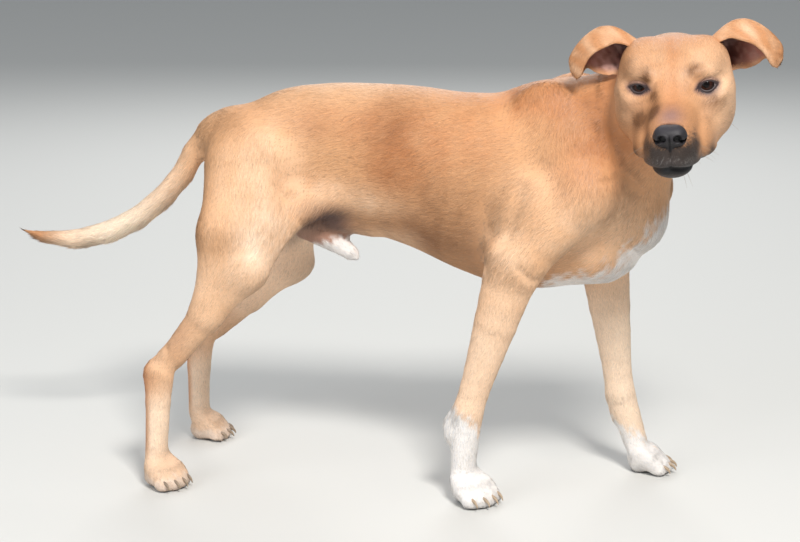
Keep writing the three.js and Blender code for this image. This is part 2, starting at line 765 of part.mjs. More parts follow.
function earSolid(s) {
  const droop = THREE.MathUtils.degToRad(EAR_DROOP[s]);
  const placed = ([x, y, z]) => {
    const out = y - EAR_ROOT.out;
    const up = z - EAR_ROOT.up;
    const turnedOut = EAR_ROOT.out + out * Math.cos(droop) + up * Math.sin(droop);
    const turnedUp = EAR_ROOT.up + up * Math.cos(droop) - out * Math.sin(droop);
    return fromHead([x, s * turnedOut, turnedUp]);
  };
  const stations = EAR.map((station) =>
    Object.fromEntries(Object.entries(station).map(([key, at]) => [key, placed(at)])),
  );
  const made = sheet(stations, EAR_DEPTH, { along: 7, over: 6 });
  if (s === RIGHT) return solid(made);
  const index = made.index.array;
  for (let i = 0; i < index.length; i += 3) [index[i], index[i + 1]] = [index[i + 1], index[i]];
  return solid(made);
}

function makeHead() {
  const path = [[72, 0, -40], [30, 0, -38], [-10, 0, -18], [-62, 0, -12]].map(fromHead);
  const net_ = { rings: 11, around: 26, cap: 4 };
  const whole = part(path, net_, [headCut]);
  const skull = room(path, net_);
  const nape = room([[252, 0, 424], [290, 6, 462], [322, 0, 498]], NECK_NET);
  let flesh = whole.subtract(noseSolid(GAP));
  for (const s of [RIGHT, LEFT]) {
    const almond = inHead(mass([LIDS.ahead, s * LIDS.out, 0], LIDS.size, [s * LIDS.slant, 0, 0]));
    const opening = [[LIDS.ahead - 1, s * LIDS.out, 0], [LIDS.ahead + 1, s * LIDS.out, 0]];
    flesh = flesh.subtract(eyeBall(s, GAP));
    flesh = flesh.subtract(solid(net(almond, opening.map(fromHead), { rings: 1, around: 12, cap: 2 })));
  }
  parts.head = main(flesh.subtract(region(jawCuts)));
  parts.lower_jaw = main(flesh.intersect(region(jawCuts, GAP)));
  parts.nose = noseSolid(0);
  parts.eye_right = eyeBall(RIGHT, 0);
  parts.eye_left = eyeBall(LEFT, 0);
  parts.ear_right = main(earSolid(RIGHT).subtract(skull).subtract(nape));
  parts.ear_left = main(earSolid(LEFT).subtract(skull).subtract(nape));
}

makeHead();
makeTrunk();
makeSheath();
makeForeLeg(RIGHT, "right");
makeForeLeg(LEFT, "left");
makeHindLeg(RIGHT, "right");
makeHindLeg(LEFT, "left");
makeTail();

// ---------------------------------------------------------------- the whole, centred on its feet
const COLOURS = { coat: 0xc08850, white: 0xe8e0d6, dark: 0x2a2422, horn: 0x4a3c34 };
function colourOf(name) {
  if (name.includes("claw")) return COLOURS.horn;
  if (name.startsWith("forepaw") || name === "sheath") return COLOURS.white;
  if (name.startsWith("eye") || name === "nose") return COLOURS.dark;
  return COLOURS.coat;
}

const dog = new THREE.Group();
const bounds = new THREE.Box3();
for (const [name, manifold] of Object.entries(parts)) {
  const look = new THREE.MeshStandardMaterial({ color: colourOf(name), roughness: 0.8 });
  const mesh = new THREE.Mesh(geometryOf(manifold), look);
  mesh.name = name;
  dog.add(mesh);
  bounds.expandByObject(mesh);
}
const foot = bounds.getCenter(new THREE.Vector3()).setZ(bounds.min.z);
for (const mesh of dog.children) mesh.geometry.translate(-foot.x, -foot.y, -foot.z);

export default dog;
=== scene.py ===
"""A life-size standing dog in its coat: skin, tufts, ears, eyes, lids, nose, lips and claws.

Shapes are worked out in millimetres in the frame of the dog's own feet, as its solids are, and
turned into metres at the end. +X is the way the body faces, +Y the dog's left, +Z up."""

import math

import bmesh
import bpy
import numpy as np
from mathutils import Matrix, Vector


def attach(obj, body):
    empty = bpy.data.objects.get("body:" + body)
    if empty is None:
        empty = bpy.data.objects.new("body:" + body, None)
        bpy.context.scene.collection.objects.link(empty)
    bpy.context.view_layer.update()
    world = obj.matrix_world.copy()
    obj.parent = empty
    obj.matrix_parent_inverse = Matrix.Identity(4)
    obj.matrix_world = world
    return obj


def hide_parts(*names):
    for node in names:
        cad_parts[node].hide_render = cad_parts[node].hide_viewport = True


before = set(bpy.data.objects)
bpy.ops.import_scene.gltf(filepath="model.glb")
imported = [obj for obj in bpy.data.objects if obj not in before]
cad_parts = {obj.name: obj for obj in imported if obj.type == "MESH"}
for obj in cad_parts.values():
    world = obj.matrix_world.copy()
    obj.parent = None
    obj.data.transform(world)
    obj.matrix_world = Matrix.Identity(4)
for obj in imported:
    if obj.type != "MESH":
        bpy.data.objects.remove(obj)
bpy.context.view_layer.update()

LEFT, RIGHT = 1, -1
SIDES = ((RIGHT, "right"), (LEFT, "left"))
FOOT = np.array([29.559, 36.54, 0.0])  # from the legs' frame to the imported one

# ---------------------------------------------------------------- dimensions of the dog, in mm
TRUNK = np.array([  # x, back, belly, half width
    (-232, 460, 398, 34), (-195, 477, 364, 48), (-150, 497, 352, 51), (-95, 506, 345, 52),
    (-40, 508, 316, 58), (20, 506, 297, 70), (80, 500, 273, 80), (140, 502, 256, 80),
    (200, 512, 256, 70), (262, 508, 276, 52)], float)
MUZZLE = np.array([  # x, bridge, lip, half width
    (-14, 10, -68, 36), (4, 4, -70, 32), (22, -3, -71, 31), (45, -9, -71, 30),
    (68, -13, -70, 28), (84, -17, -68, 25)], float)
HEAD_AT = (344, -98, 526)
HEAD_YAW, HEAD_PITCH, HEAD_ROLL = -86.5, 10, 3.3
EYE_OUT, EYE_BACK, EYE_RADIUS = 37, 3, 12.2
FORE = {
    RIGHT: dict(blade=(183, -38, 492), shoulder=(240, -66, 388), elbow=(160, -78, 304),
                wrist=(104, -74, 114), knuckle=(98, -70, 44), toward=-34, pad=21),
    LEFT: dict(blade=(205, 38, 494), shoulder=(293, 60, 380), elbow=(244, 76, 300),
               wrist=(270, 88, 104), knuckle=(290, 93, 42), toward=2, pad=3)}
HIND = {
    RIGHT: dict(hip=(-188, -46, 424), stifle=(-178, -86, 282), hock=(-286, -102, 144),
                knuckle=(-291, -108, 38), toward=-26),
    LEFT: dict(hip=(-188, 46, 424), stifle=(-172, 86, 256), hock=(-302, 92, 136),
               knuckle=(-304, 86, 38), toward=6)}
TAIL = np.array([  # x, y, z, radius
    (-222, 0, 444, 22), (-247, 0, 434, 18.5), (-271, 1, 411, 17.5), (-286, 2, 383, 18),
    (-314, 3, 351, 19), (-347, 4, 323, 19.5), (-385, 5, 302, 19.5), (-435, 5, 287, 18),
    (-486, 3, 288, 12.5), (-518, 1, 298, 4)], float)
NECK = np.array([  # x, y, z, half width, half depth
    (246, 0, 424, 62, 84), (298, 8, 466, 60, 70), (334, 0, 516, 56, 60)], float)
SHEATH = np.array([  # x, y, z, half width, half depth
    (-126, 0, 318, 14, 16), (-92, 0, 306, 14, 17),
    (-63, -2, 290, 12, 12.5), (-56, -2, 285, 8, 8)], float)
TOES = (-1.5, -0.5, 0.5, 1.5)  # places across the paw, in widths of a toe
PAW = {"fore": (50, 14.1), "hind": (44, 13)}  # reach, width of a toe


# ---------------------------------------------------------------- fields
# A field gives each point's distance outside a shape, and less than nothing inside it.
def mix(a, b, t):
    """a at t = 0, b at t = 1."""
    return a + (b - a) * t


def mixed(a, b, t):
    """The point a share t of the way from a to b."""
    return tuple(mix(np.asarray(a, float), np.asarray(b, float), t))


def step(low, high, x):
    """0 below low, 1 above high, and 3t^2 - 2t^3 between them."""
    t = np.clip((x - low) / (high - low), 0, 1)
    return t * t * (3 - 2 * t)


def bell(x, width):
    """exp(-(x / width)^2): 1 in the middle, fading out over a width."""
    return np.exp(-((x / width) ** 2))


def unit(v):
    """Each row of v at length 1."""
    return v / np.maximum(np.linalg.norm(v, axis=-1, keepdims=True), 1e-9)


def flattened(way, normal):
    """Each way with its part along the normal taken out, at length 1."""
    return unit(way - (way * normal).sum(1, keepdims=True) * normal)


def blend(a, b, reach):
    """Smooth union: the lesser of a and b, less near^2 * reach / 4 where they come within reach."""
    near = np.maximum(reach - np.abs(a - b), 0) / reach
    return np.minimum(a, b) - near * near * reach / 4


def ellipsoid(x, y, z, rx, ry, rz):
    """k0 (k0 - 1) / k1: the offset's length over the radii, k0, and over their squares, k1."""
    k0 = np.sqrt((x / rx) ** 2 + (y / ry) ** 2 + (z / rz) ** 2)
    k1 = np.sqrt((x / rx**2) ** 2 + (y / ry**2) ** 2 + (z / rz**2) ** 2)
    heart = -np.minimum(rx, np.minimum(ry, rz))
    return np.where(k1 < 1e-9, heart, k0 * (k0 - 1) / np.maximum(k1, 1e-9))


def turn_matrix(x, y, z):
    """Rotation by x, y and z degrees about the axes: Rx Ry Rz."""
    spin = [Matrix.Rotation(math.radians(a), 3, n) for a, n in zip((x, y, z), "XYZ")]
    return np.array(spin[0] @ spin[1] @ spin[2])


def mass(at, size, turn=(0, 0, 0)):
    """A muscle or a round mass: an ellipsoid of radii size about at."""
    m = turn_matrix(*turn)
    return lambda p: ellipsoid(*((p - np.asarray(at, float)) @ m).T, *size)


def length(start, end, first, last, side=(0, 1, 0)):
    """A limb from start to end, whose half width and half depth go from first to last."""
    a = np.asarray(start, float)
    axis = np.asarray(end, float) - a
    long = np.linalg.norm(axis)
    axis = axis / long
    across = np.asarray(side, float) - np.dot(side, axis) * axis
    across = across / np.linalg.norm(across)
    deep = np.cross(axis, across)

    def field(p):
        q = p - a
        along = q @ axis
        t = np.clip(along / long, 0, 1)
        wide, depth = mix(first[0], last[0], t), mix(first[1], last[1], t)
        return ellipsoid(along - t * long, q @ across, q @ deep, (wide + depth) / 2, wide, depth)

    return field


def profile(stations, which):
    """Smooth curve through stations ordered by x: cubics whose slopes come from the neighbours."""
    x, v = stations[:, 0], stations[:, which]
    lo, hi = np.maximum(np.arange(len(x)) - 1, 0), np.minimum(np.arange(len(x)) + 1, len(x) - 1)
    rise = (v[hi] - v[lo]) / (x[hi] - x[lo])

    def at(q):
        i = np.clip(np.searchsorted(x, q, side="left") - 1, 0, len(x) - 2)
        span = x[i + 1] - x[i]
        t = np.clip((q - x[i]) / span, 0, 1)
        return ((2 * t**3 - 3 * t**2 + 1) * v[i] + (t**3 - 2 * t**2 + t) * span * rise[i]
                + (3 * t**2 - 2 * t**3) * v[i + 1] + (t**3 - t**2) * span * rise[i + 1])

    return at


def outlined(stations, taper=0, power=2, cap=20):
    """Rounded sections along x between a top and a bottom line, of the stations' half widths."""
    top, bottom, half = (profile(stations, c) for c in (1, 2, 3))

    def field(p):
        x, y, z = p.T
        inside = np.clip(x, stations[0, 0], stations[-1, 0])
        high = (top(inside) - bottom(inside)) / 2
        v = (z - bottom(inside)) / high - 1
        wide = half(inside) * (1 + taper * np.clip(v, -1, 1))
        r = np.abs(y / wide) ** power + np.abs(v) ** power + (np.abs(x - inside) / cap) ** power
        return (r ** (1 / power) - 1) * np.minimum(high, wide)

    return field


def joined(parts):
    """The fields of parts, each a (field, reach), flowing into each other in order."""

    def field(p):
        d = np.full(len(p), 1e9)
        for f, reach in parts:
            d = blend(d, f(p), reach)
        return d

    return field


HEAD_TURN = np.array(Matrix.Rotation(math.radians(HEAD_YAW), 3, "Z")
                     @ Matrix.Rotation(math.radians(HEAD_PITCH), 3, "Y")
                     @ Matrix.Rotation(math.radians(HEAD_ROLL), 3, "X"))


def from_head(q):
    """Points of the head's frame (x forward, y to its left, z up) in the body's."""
    return np.asarray(q, float) @ HEAD_TURN.T + HEAD_AT


def to_head(p):
    """Points of the body's frame in the head's."""
    return (p - np.asarray(HEAD_AT, float)) @ HEAD_TURN


HEAD_PAIRS = [  # masses on both sides: place on the left, radii, turn outwards, reach of the blend
    ((-26, 42, -30), (42, 28, 42), 0, 24),  # jaw muscle
    ((-8, 32, 15), (20, 21, 12), -12, 10),  # brow
    ((-22, 51, -9), (30, 16, 14), 0, 12),  # cheekbone
    ((62, 17, -54), (28, 16, 18), 0, 8),  # upper lip
    ((-46, 40, 13), (40, 23, 26), 0, 16),  # temple
    ((14, 34, -56), (36, 14, 24), 0, 16)]  # corner of the mouth


def head_parts():
    """The masses of the head, in its own frame, each with the reach of its blend."""
    parts = [(mass((-46, 0, -1), (64, 56, 46)), 12), (mass((-88, 0, -10), (40, 46, 36)), 20),
             (outlined(MUZZLE, power=2.5, cap=16), 24)]
    for (x, y, z), size, tilt, reach in HEAD_PAIRS:
        parts += [(mass((x, s * y, z), size, (0, 0, s * tilt)), reach) for s in (LEFT, RIGHT)]
    return parts + [(mass((64, 0, -71), (26, 21, 14)), 8),
                    (length((62, 0, -68), (-6, 0, -66), (23, 15), (44, 21)), 14),
                    (mass((-46, 0, -48), (40, 48, 34)), 20)]


NOSE = joined([(mass((91, 0, -29), (14, 14, 13)), 6), (mass((92, 9.5, -29), (11, 9, 11)), 6),
               (mass((92, -9.5, -29), (11, 9, 11)), 6), (mass((90, 0, -43), (8, 5, 8)), 6)])


def trunk_parts():
    """Ribs and belly, croup, breast, withers and the fore end of the breastbone."""
    return [(outlined(TRUNK, 0.16, 2.15, 26), 1), (mass((-198, 0, 428), (46, 58, 38)), 20),
            (mass((296, 0, 356), (40, 48, 50)), 30), (mass((185, 0, 484), (48, 34, 30)), 20),
            (mass((250, 0, 300), (48, 36, 26)), 24),
            (length((-124, 0, 332), (-36, 0, 330), (20, 18), (24, 18)), 12),
            (length((140, 0, 468), (256, -12, 490), (22, 24), (30, 28)), 20)]


def fore_leg_parts(s):
    """Blade, upper arm, triceps, point of the elbow, forearm, wrist pad and pastern."""
    blade, shoulder, elbow, wrist, knuckle = (
        FORE[s][k] for k in ("blade", "shoulder", "elbow", "wrist", "knuckle"))
    upper = mixed(shoulder, elbow, 0.5)

    def arm(t):
        return mixed(elbow, wrist, t)

    return [(length(blade, shoulder, (18, 34), (31, 38)), 20, (blade, shoulder)),
            (length(shoulder, elbow, (31, 38), (26, 35)), 20, (shoulder, elbow)),
            (mass((upper[0] - 26, upper[1], upper[2] + 22), (44, 26, 50), (0, 34, 0)), 12,
             (shoulder, elbow)),
            (mass((elbow[0] - 14, elbow[1], elbow[2] - 2), (17, 15, 20)), 12, (elbow, wrist)),
            (length(elbow, arm(0.4), (25, 37), (20, 29)), 16, (elbow, wrist)),
            (length(arm(0.4), arm(0.85), (20, 29), (16.5, 21)), 3, (elbow, wrist)),
            (length(arm(0.85), wrist, (16.5, 21), (19, 21.5)), 3, (elbow, wrist)),
            (mass((wrist[0] - FORE[s]["pad"], wrist[1], wrist[2] - 22), (13, 12, 24)), 10,
             (wrist, knuckle)),
            (length(wrist, knuckle, (19, 22), (20, 18)), 4, (wrist, knuckle))]


def hind_leg_parts(s):
    """Thigh, hamstrings, knee, calf, shank, heel cord, hock and hind pastern."""
    hip, stifle, hock, knuckle = (HIND[s][k] for k in ("hip", "stifle", "hock", "knuckle"))
    back = (stifle[0] - 28, stifle[1] + s * 2, stifle[2] + 44)
    x, y, z = hock

    def shank(t):
        return mixed(stifle, hock, t)

    return [(length((hip[0] + 4, hip[1], hip[2] - 16), stifle, (36, 50), (26, 36)), 30,
             (hip, stifle)),
            (length((hip[0] - 14, hip[1] + s * 6, hip[2] - 30), back, (30, 31), (25, 28)), 26,
             (hip, stifle)),
            (mass((stifle[0] - 2, stifle[1], stifle[2] - 2), (24, 23, 27)), 14, (stifle, hock)),
            (length(back, shank(0.45), (25, 26), (16, 20)), 24, (back, hock)),
            (length(stifle, shank(0.45), (24, 29), (18, 23)), 16, (stifle, hock)),
            (length(shank(0.45), shank(0.85), (18, 23), (13.5, 19)), 4, (stifle, hock)),
            (length(shank(0.8), (x - 12, y, z + 10), (9, 11), (9, 10)), 12, (stifle, hock)),
            (length((x - 15, y, z + 6), (x - 4, y, z - 30), (12, 11), (13, 13)), 8,
             (hock, knuckle)),
            (length(hock, (x - 3, y, z - 36), (17, 22), (16, 18.5)), 5, (hock, knuckle)),
            (length((x - 3, y, z - 36), knuckle, (16, 18.5), (19, 16)), 4, (hock, knuckle))]


def toes_of(leg, size):
    """Roots, crowns and tips of the four toes, fanned about the leg's last joint."""
    reach, width = size
    turn = math.radians(leg["toward"])
    kx, ky = leg["knuckle"][:2]

    def place(forward, out, up):
        return (kx + forward * math.cos(turn) - out * math.sin(turn),
                ky + forward * math.sin(turn) + out * math.cos(turn), up)

    toes = []
    for across in TOES:
        out, long = across * width, reach - abs(across) * 0.13 * reach
        toes.append(dict(root=place(2, out * 0.7, 30), crown=place(long * 0.52, out * 0.95, 21),
                         tip=place(long * 0.86, out, 7.5), out=out, long=long))
    return toes, place


def paw_parts(leg, size):
    """Two lengths to each toe, and the main pad."""
    toes, place = toes_of(leg, size)
    fat = size[1] * 0.64
    parts = []
    for t in toes:
        bone = (t["root"], t["tip"])
        parts += [(length(t["root"], t["crown"], (fat, 13), (fat, 12)), 3, bone),
                  (length(t["crown"], t["tip"], (fat, 12), (fat * 0.92, 10.5)), 3, bone)]
    parts.append((mass(place(5, 0, 11), (21, 20, 14)), 8, (place(0, 0, 20), place(20, 0, 6))))
    return parts


def chain_parts(stations, columns, reach):
    """Lengths between neighbouring stations."""
    return [(length(a[:3], b[:3], a[columns], b[columns]), reach, (a[:3], b[:3]))
            for a, b in zip(stations, stations[1:])]


def body_parts():
    """(group, field, reach, the two ends of the bone that its hair follows) for the whole dog."""
    head = joined(head_parts())
    neck = joined([(f, r) for f, r, _ in chain_parts(NECK, [3, 4], 6)])
    tail = joined([(f, r) for f, r, _ in chain_parts(TAIL, [3, 3], 1.5)])
    trunk = joined(trunk_parts())
    parts = [("trunk", trunk, 1, None), ("neck", neck, 40, None),
             ("head", lambda p: head(to_head(p)), 18, None), ("tail", tail, 22, None)]
    for kind, made in (("fore_", fore_leg_parts), ("hind_", hind_leg_parts),
                       ("fore_", lambda s: paw_parts(FORE[s], PAW["fore"])),
                       ("hind_", lambda s: paw_parts(HIND[s], PAW["hind"]))):
        for s, name in SIDES:
            parts += [(kind + name, *part) for part in made(s)]
    for s, _ in SIDES:  # fold of skin from the flank to the knee
        fold = length((-82, s * 28, 366), (-150, s * 72, 320), (8, 14), (12, 22))
        parts.append(("trunk", fold, 34, None))
    sheath = joined([(length(a[:3], b[:3], a[3:], b[3:]), i + 1)
                     for i, (a, b) in enumerate(zip(SHEATH, SHEATH[1:]))])
    parts.append(("sheath", sheath, 6, None))
    return parts


BODY = body_parts()


def body(p, near=None):
    """Distance outside the whole dog; near, if given, gets each group's own distance."""
    d = np.full(len(p), 1e9)
    for group, field, reach, _ in BODY:
        f = field(p)
        d = blend(d, f, reach)
        if near is not None:
            near[group] = np.minimum(near.get(group, 1e9), f)
    return d


def slope(field, p, d, e=0.5):
    """Gradient of a field at p, where it is d: forward differences e apart."""
    return np.stack([(field(p + e * np.eye(3)[k]) - d) / e for k in range(3)], 1)


# ---------------------------------------------------------------- meshes from arrays
def mesh_object(name, points, faces, smooth=True):
    """An object at the origin with points in mm in the legs' frame, and faces as index rows."""
    mesh = bpy.data.meshes.new(name)
    mesh.from_pydata(((np.asarray(points) + FOOT) / 1000).tolist(), [], [list(f) for f in faces])
    mesh.validate()
    obj = bpy.data.objects.new(name, mesh)
    bpy.context.scene.collection.objects.link(obj)
    mesh.polygons.foreach_set("use_smooth", [smooth] * len(mesh.polygons))
    return obj


def column(items, field, width, kind=np.float32):
    """The named field of a mesh's items, one row of width values for each."""
    values = np.empty(len(items) * width, kind)
    items.foreach_get(field, values)
    return values.reshape(-1, width)


def points_of(mesh):
    """The mesh's vertices in mm in the legs' frame."""
    return column(mesh.vertices, "co", 3).astype(float) * 1000 - FOOT


def metres(p):
    """Points in mm in the legs' frame, as the flat array of metres that a mesh takes."""
    return ((p + FOOT) / 1000).astype(np.float32).ravel()


def put_points(mesh, p):
    """Moves the mesh's vertices to p, in mm in the legs' frame."""
    mesh.vertices.foreach_set("co", metres(p))
    mesh.update()


def normals_of(mesh):
    """The mesh's vertex normals."""
    return column(mesh.vertex_normals, "vector", 3).astype(float)


def edges_of(mesh):
    """The mesh's edges as index pairs."""
    return column(mesh.edges, "vertices", 2, np.int32)


def triangles_of(mesh):
    """The mesh's triangles as index triples, of vertices and of corners."""
    mesh.calc_loop_triangles()
    return [column(mesh.loop_triangles, field, 3, np.int32) for field in ("vertices", "loops")]


def smoothed(p, edges, weight, rounds):
    """Moves each point towards the mean of its neighbours by its weight, rounds times."""
    n = len(p)
    a, b = edges.T
    count = np.maximum(np.bincount(a, minlength=n) + np.bincount(b, minlength=n), 1)
    w = np.broadcast_to(weight, (n,))
    for _ in range(rounds):
        total = np.stack([np.bincount(a, p[b, k], n) + np.bincount(b, p[a, k], n)
                          for k in range(p.shape[1])], 1)
        p = p + (total / count[:, None] - p) * w[:, None]
    return p


# ---------------------------------------------------------------- skin
FLESH = [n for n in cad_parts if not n.startswith(("eye", "nose")) and "claw" not in n]
NET = 0.0046  # width of the skin's squares, in metres
COAT_DEPTH = 2.0  # how deep the skin lies under the outside of the coat
EYE_OPENING = {RIGHT: (11.6, 5.4, 4.8, 3), LEFT: (12.2, 6.7, 6.2, 8)}  # half, up, down, slant
NOSE_SEAT = 9  # how far the skin is pushed back behind the nose
EYE_TOE = 9  # how far each eye's lids face outwards, in degrees
LID = 1.1  # thickness of a lid's edge


def rough_skin():
    """The flesh nodes' copies without the ears, joined and remeshed to one net of squares."""
    points, faces, base = [], [], 0
    for n in [n for n in FLESH if not n.startswith("ear")] + ["eye_right", "eye_left", "nose"]:
        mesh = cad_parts[n].data
        points.append(points_of(mesh))
        faces.append(triangles_of(mesh)[0] + base)
        base += len(mesh.vertices)
    obj = mesh_object("rough", np.concatenate(points), np.concatenate(faces))
    change = obj.modifiers.new("net", "REMESH")
    change.mode = "VOXEL"
    change.voxel_size = NET
    graph = bpy.context.evaluated_depsgraph_get()
    mesh = bpy.data.meshes.new_from_object(obj.evaluated_get(graph))
    bpy.data.objects.remove(obj)
    return mesh


def refined(mesh, chosen):
    """Cuts the faces where chosen(points) holds into four."""
    pick = chosen(points_of(mesh))
    bm = bmesh.new()
    bm.from_mesh(mesh)
    edges = [e for e in bm.edges if pick[e.verts[0].index] and pick[e.verts[1].index]]
    bmesh.ops.subdivide_edges(bm, edges=edges, cuts=1, use_grid_fill=True)
    bm.to_mesh(mesh)
    bm.free()


def on_field(p, depth, rounds=4):
    """Newton steps along the gradient onto the body's field, depth mm inside it."""
    for _ in range(rounds):
        d = body(p)
        g = slope(body, p, d)
        move = (d + depth) / np.maximum((g * g).sum(1), 0.3)
        p = p - np.clip(move, -6, 6)[:, None] * g
    return p


def near_line(p, line):
    """Distance from each point to a bent line."""
    d = np.full(len(p), 1e9)
    for a, b in zip(np.asarray(line[:-1], float), np.asarray(line[1:], float)):
        t = np.clip(((p - a) @ (b - a)) / ((b - a) @ (b - a)), 0, 1)
        d = np.minimum(d, np.linalg.norm(p - a - t[:, None] * (b - a), axis=1))
    return d


def ridge(p, line, width):
    """A bell of the distance to a bent line."""
    return bell(near_line(p, line), width)


def spot(p, at, size):
    """exp(-|offset / size|^2): 1 at a place, fading out over its size."""
    return np.exp(-((((p - np.asarray(at, float)) / size) ** 2).sum(1)))


def eye_axes(s):
    """Columns: the way the lids face, outwards along their slit, and up across it."""
    toe, slant = math.radians(EYE_TOE), math.radians(EYE_OPENING[s][3])
    ahead = np.array([math.cos(toe), s * math.sin(toe), 0])
    out = np.array([-math.sin(toe), s * math.cos(toe), 0])
    up = np.array([0.0, 0.0, 1.0])
    return np.stack([ahead, out * math.cos(slant) + up * math.sin(slant),
                     up * math.cos(slant) - out * math.sin(slant)], 1)


def eye_at(s):
    """Centre of an eyeball in the head's frame."""
    return np.array([-EYE_BACK, s * EYE_OUT, 0.0])


def both_sides(q):
    """Points of the head's frame with its right side laid over its left."""
    return q * (1, 0, 1) + np.abs(q) * (0, 1, 0)


def slit(out, up, s):
    """Distance outside the opening between the lids: a lens of two arcs."""
    half, high, low, _ = EYE_OPENING[s]
    upper, lower = (half**2 + high**2) / (2 * high), (half**2 + low**2) / (2 * low)
    return np.maximum(np.hypot(out, up - high + upper) - upper,
                      np.hypot(out, up + low - lower) - lower)


def lid_shape(q, s):
    """Draws the skin round an eye onto the ball: inside it in the slit, LID proud at its edge."""
    m = (q - eye_at(s)) @ eye_axes(s)
    near = (m[:, 0] > -6) & (np.hypot(m[:, 1], m[:, 2]) < 26)
    m = m[near]
    gap = slit(m[:, 1], m[:, 2], s)
    reach = np.linalg.norm(m, axis=1)
    upper = step(-2, 3, m[:, 2])
    edge = LID * step(-1.2, 0.6, gap) + 0.9 * upper * bell(gap - 2.2, 1.6)
    edge -= (0.15 + 0.4 * upper) * bell(gap - 5.0, 1.5)
    ball = m * ((EYE_RADIUS + edge) / np.maximum(reach, 1))[:, None]
    behind = m * ((EYE_RADIUS - 4) / np.maximum(reach, 1))[:, None]
    ball = mix(behind, ball, step(-1.9, -0.9, gap)[:, None])
    away = step(3.0, 12.0, gap)[:, None]
    q = q.copy()
    q[near] = mix(ball, m, away) @ eye_axes(s).T + eye_at(s)
    return q


def lip_height(q):
    """Height above the line where the lips meet, which dips either side of the nose."""
    return q[:, 2] + 64 + 4 * step(0, 18, np.abs(q[:, 1])) + 4 * step(70, 10, q[:, 0])


def at_mouth(q):
    """Share of being far enough forward, between the cheeks, to be on the lips."""
    return step(2, 10, q[:, 0]) * (np.abs(q[:, 1]) < 64)


RIDGES = [  # on both sides, height in mm: a bent line and its half width, or a place and its size
    (-1.7, [(8, 24, -5), (18, 27, -20), (30, 29, -36)], 3.6),  # from the eye to the muzzle
    (1.3, [(2, 30, -17), (2, 42, -16), (-4, 50, -10)], 4.0),  # lower lid
    (-1.0, [(6, 28, -24), (0, 42, -23), (-8, 52, -16)], 3.0),  # under the lid
    (-1.1, [(12, 17, 10), (4, 19, 22), (-12, 20, 34)], 4.0),  # beside the brow
    (1.8, (4, 26, 17), (9, 8, 6)),  # inner end of the brow
    (-1.6, [(8, 47, -64), (-2, 51, -52), (-4, 53, -38)], 4.0),  # behind the corner of the mouth
    (1.5, (-30, 54, -34), (24, 14, 26)),  # cheek muscle
    (4.5, (-48, 34, 44), (28, 23, 16))]  # root of the ear


def head_relief(q):
    """How far each point of the head's skin stands out or in, in mm."""
    x, y, z = q.T
    both = both_sides(q)
    lip = lip_height(q)
    mouth = step(0, 10, x) * step(-26, -12, lip) * step(26, 14, lip)
    r = mouth * (2.0 * bell(lip - 4.5, 4.5) * step(-0.6, 0.8, lip)
                 - 3.6 * bell(lip + 3.4, 3.6) * step(0.6, -0.8, lip))
    r -= 1.5 * bell(y, 1.3) * step(62, 74, x) * step(-36, -44, z) * step(-2, 2, lip)
    r += 1.6 * spot(both, (70, 19, -50), (20, 12, 12))  # whisker pad
    r -= 1.5 * ridge(q, [(34, 0, -4), (6, 0, 16), (-30, 0, 44), (-70, 0, 56)], 6)  # furrow
    for height, where, size in RIDGES:
        r += height * (ridge if isinstance(where, list) else spot)(both, where, size)
    return r


FOLDS = [  # height of each fold of the body, its bent line and its half width
    (-3.6, [(172, -98, 410), (157, -95, 355), (151, -94, 336), (140, -91, 318),
            (126, -87, 303)], 10),
    (-3.6, [(196, 98, 410), (205, 96, 355), (206, 95, 336), (202, 93, 318),
            (200, 90, 303)], 10),
    (-2.6, [(253, -44, 500), (268, -60, 467), (279, -62, 426), (303, -44, 400)], 7),
    (-1.6, [(172, -103, 303), (186, -96, 288), (198, -93, 288)], 6),
    (-1.6, [(-292, -112, 210), (-276, -108, 185), (-268, -106, 165)], 5)]


def ear_grid(s, along=44, over=30):
    """Inner and outer grids of an ear: curves through its stations' edges, carried along it."""
    droop = math.radians(EAR_DROOP[s])
    hinge_out, hinge_up = EAR_HINGE

    def placed(q):
        out, up = q[..., 1] - hinge_out, q[..., 2] - hinge_up
        return np.stack([q[..., 0], s * (hinge_out + out * math.cos(droop) + up * math.sin(droop)),
                         hinge_up + up * math.cos(droop) - out * math.sin(droop)], -1)

    stations = placed(np.array(EAR, float))
    rows = through(stations, np.linspace(0, 1, along + 1))
    grid = through(np.swapaxes(rows, 0, 1), np.linspace(0, 1, over + 1))
    grid = np.swapaxes(grid, 0, 1)
    heart = (grid[:, :1] + grid[:, [round(over / 3)]]) / 2
    away = grid - heart
    far = np.linalg.norm(away, axis=2, keepdims=True)
    j = np.linspace(-1, 1, over + 1)[None, :, None]
    depth = EAR_DEPTH * np.minimum(1, 0.35 + far / 12) * np.sqrt(1 - j**8 * 0.98)
    return grid, grid + away / np.maximum(far, 1e-6) * depth


def through(knots, t):
    """Catmull-Rom curve through knots (first axis) at shares t of its length."""
    n = len(knots) - 1
    wide = np.concatenate([2 * knots[:1] - knots[1:2], knots, 2 * knots[-1:] - knots[-2:-1]])
    i = np.minimum((t * n).astype(int), n - 1)
    u = (t * n - i).reshape((-1,) + (1,) * (knots.ndim - 1))
    a, b, c, d = wide[i], wide[i + 1], wide[i + 2], wide[i + 3]
    return 0.5 * (2 * b + (c - a) * u + (2 * a - 5 * b + 4 * c - d) * u**2
                  + (3 * b - 3 * c + d - a) * u**3)


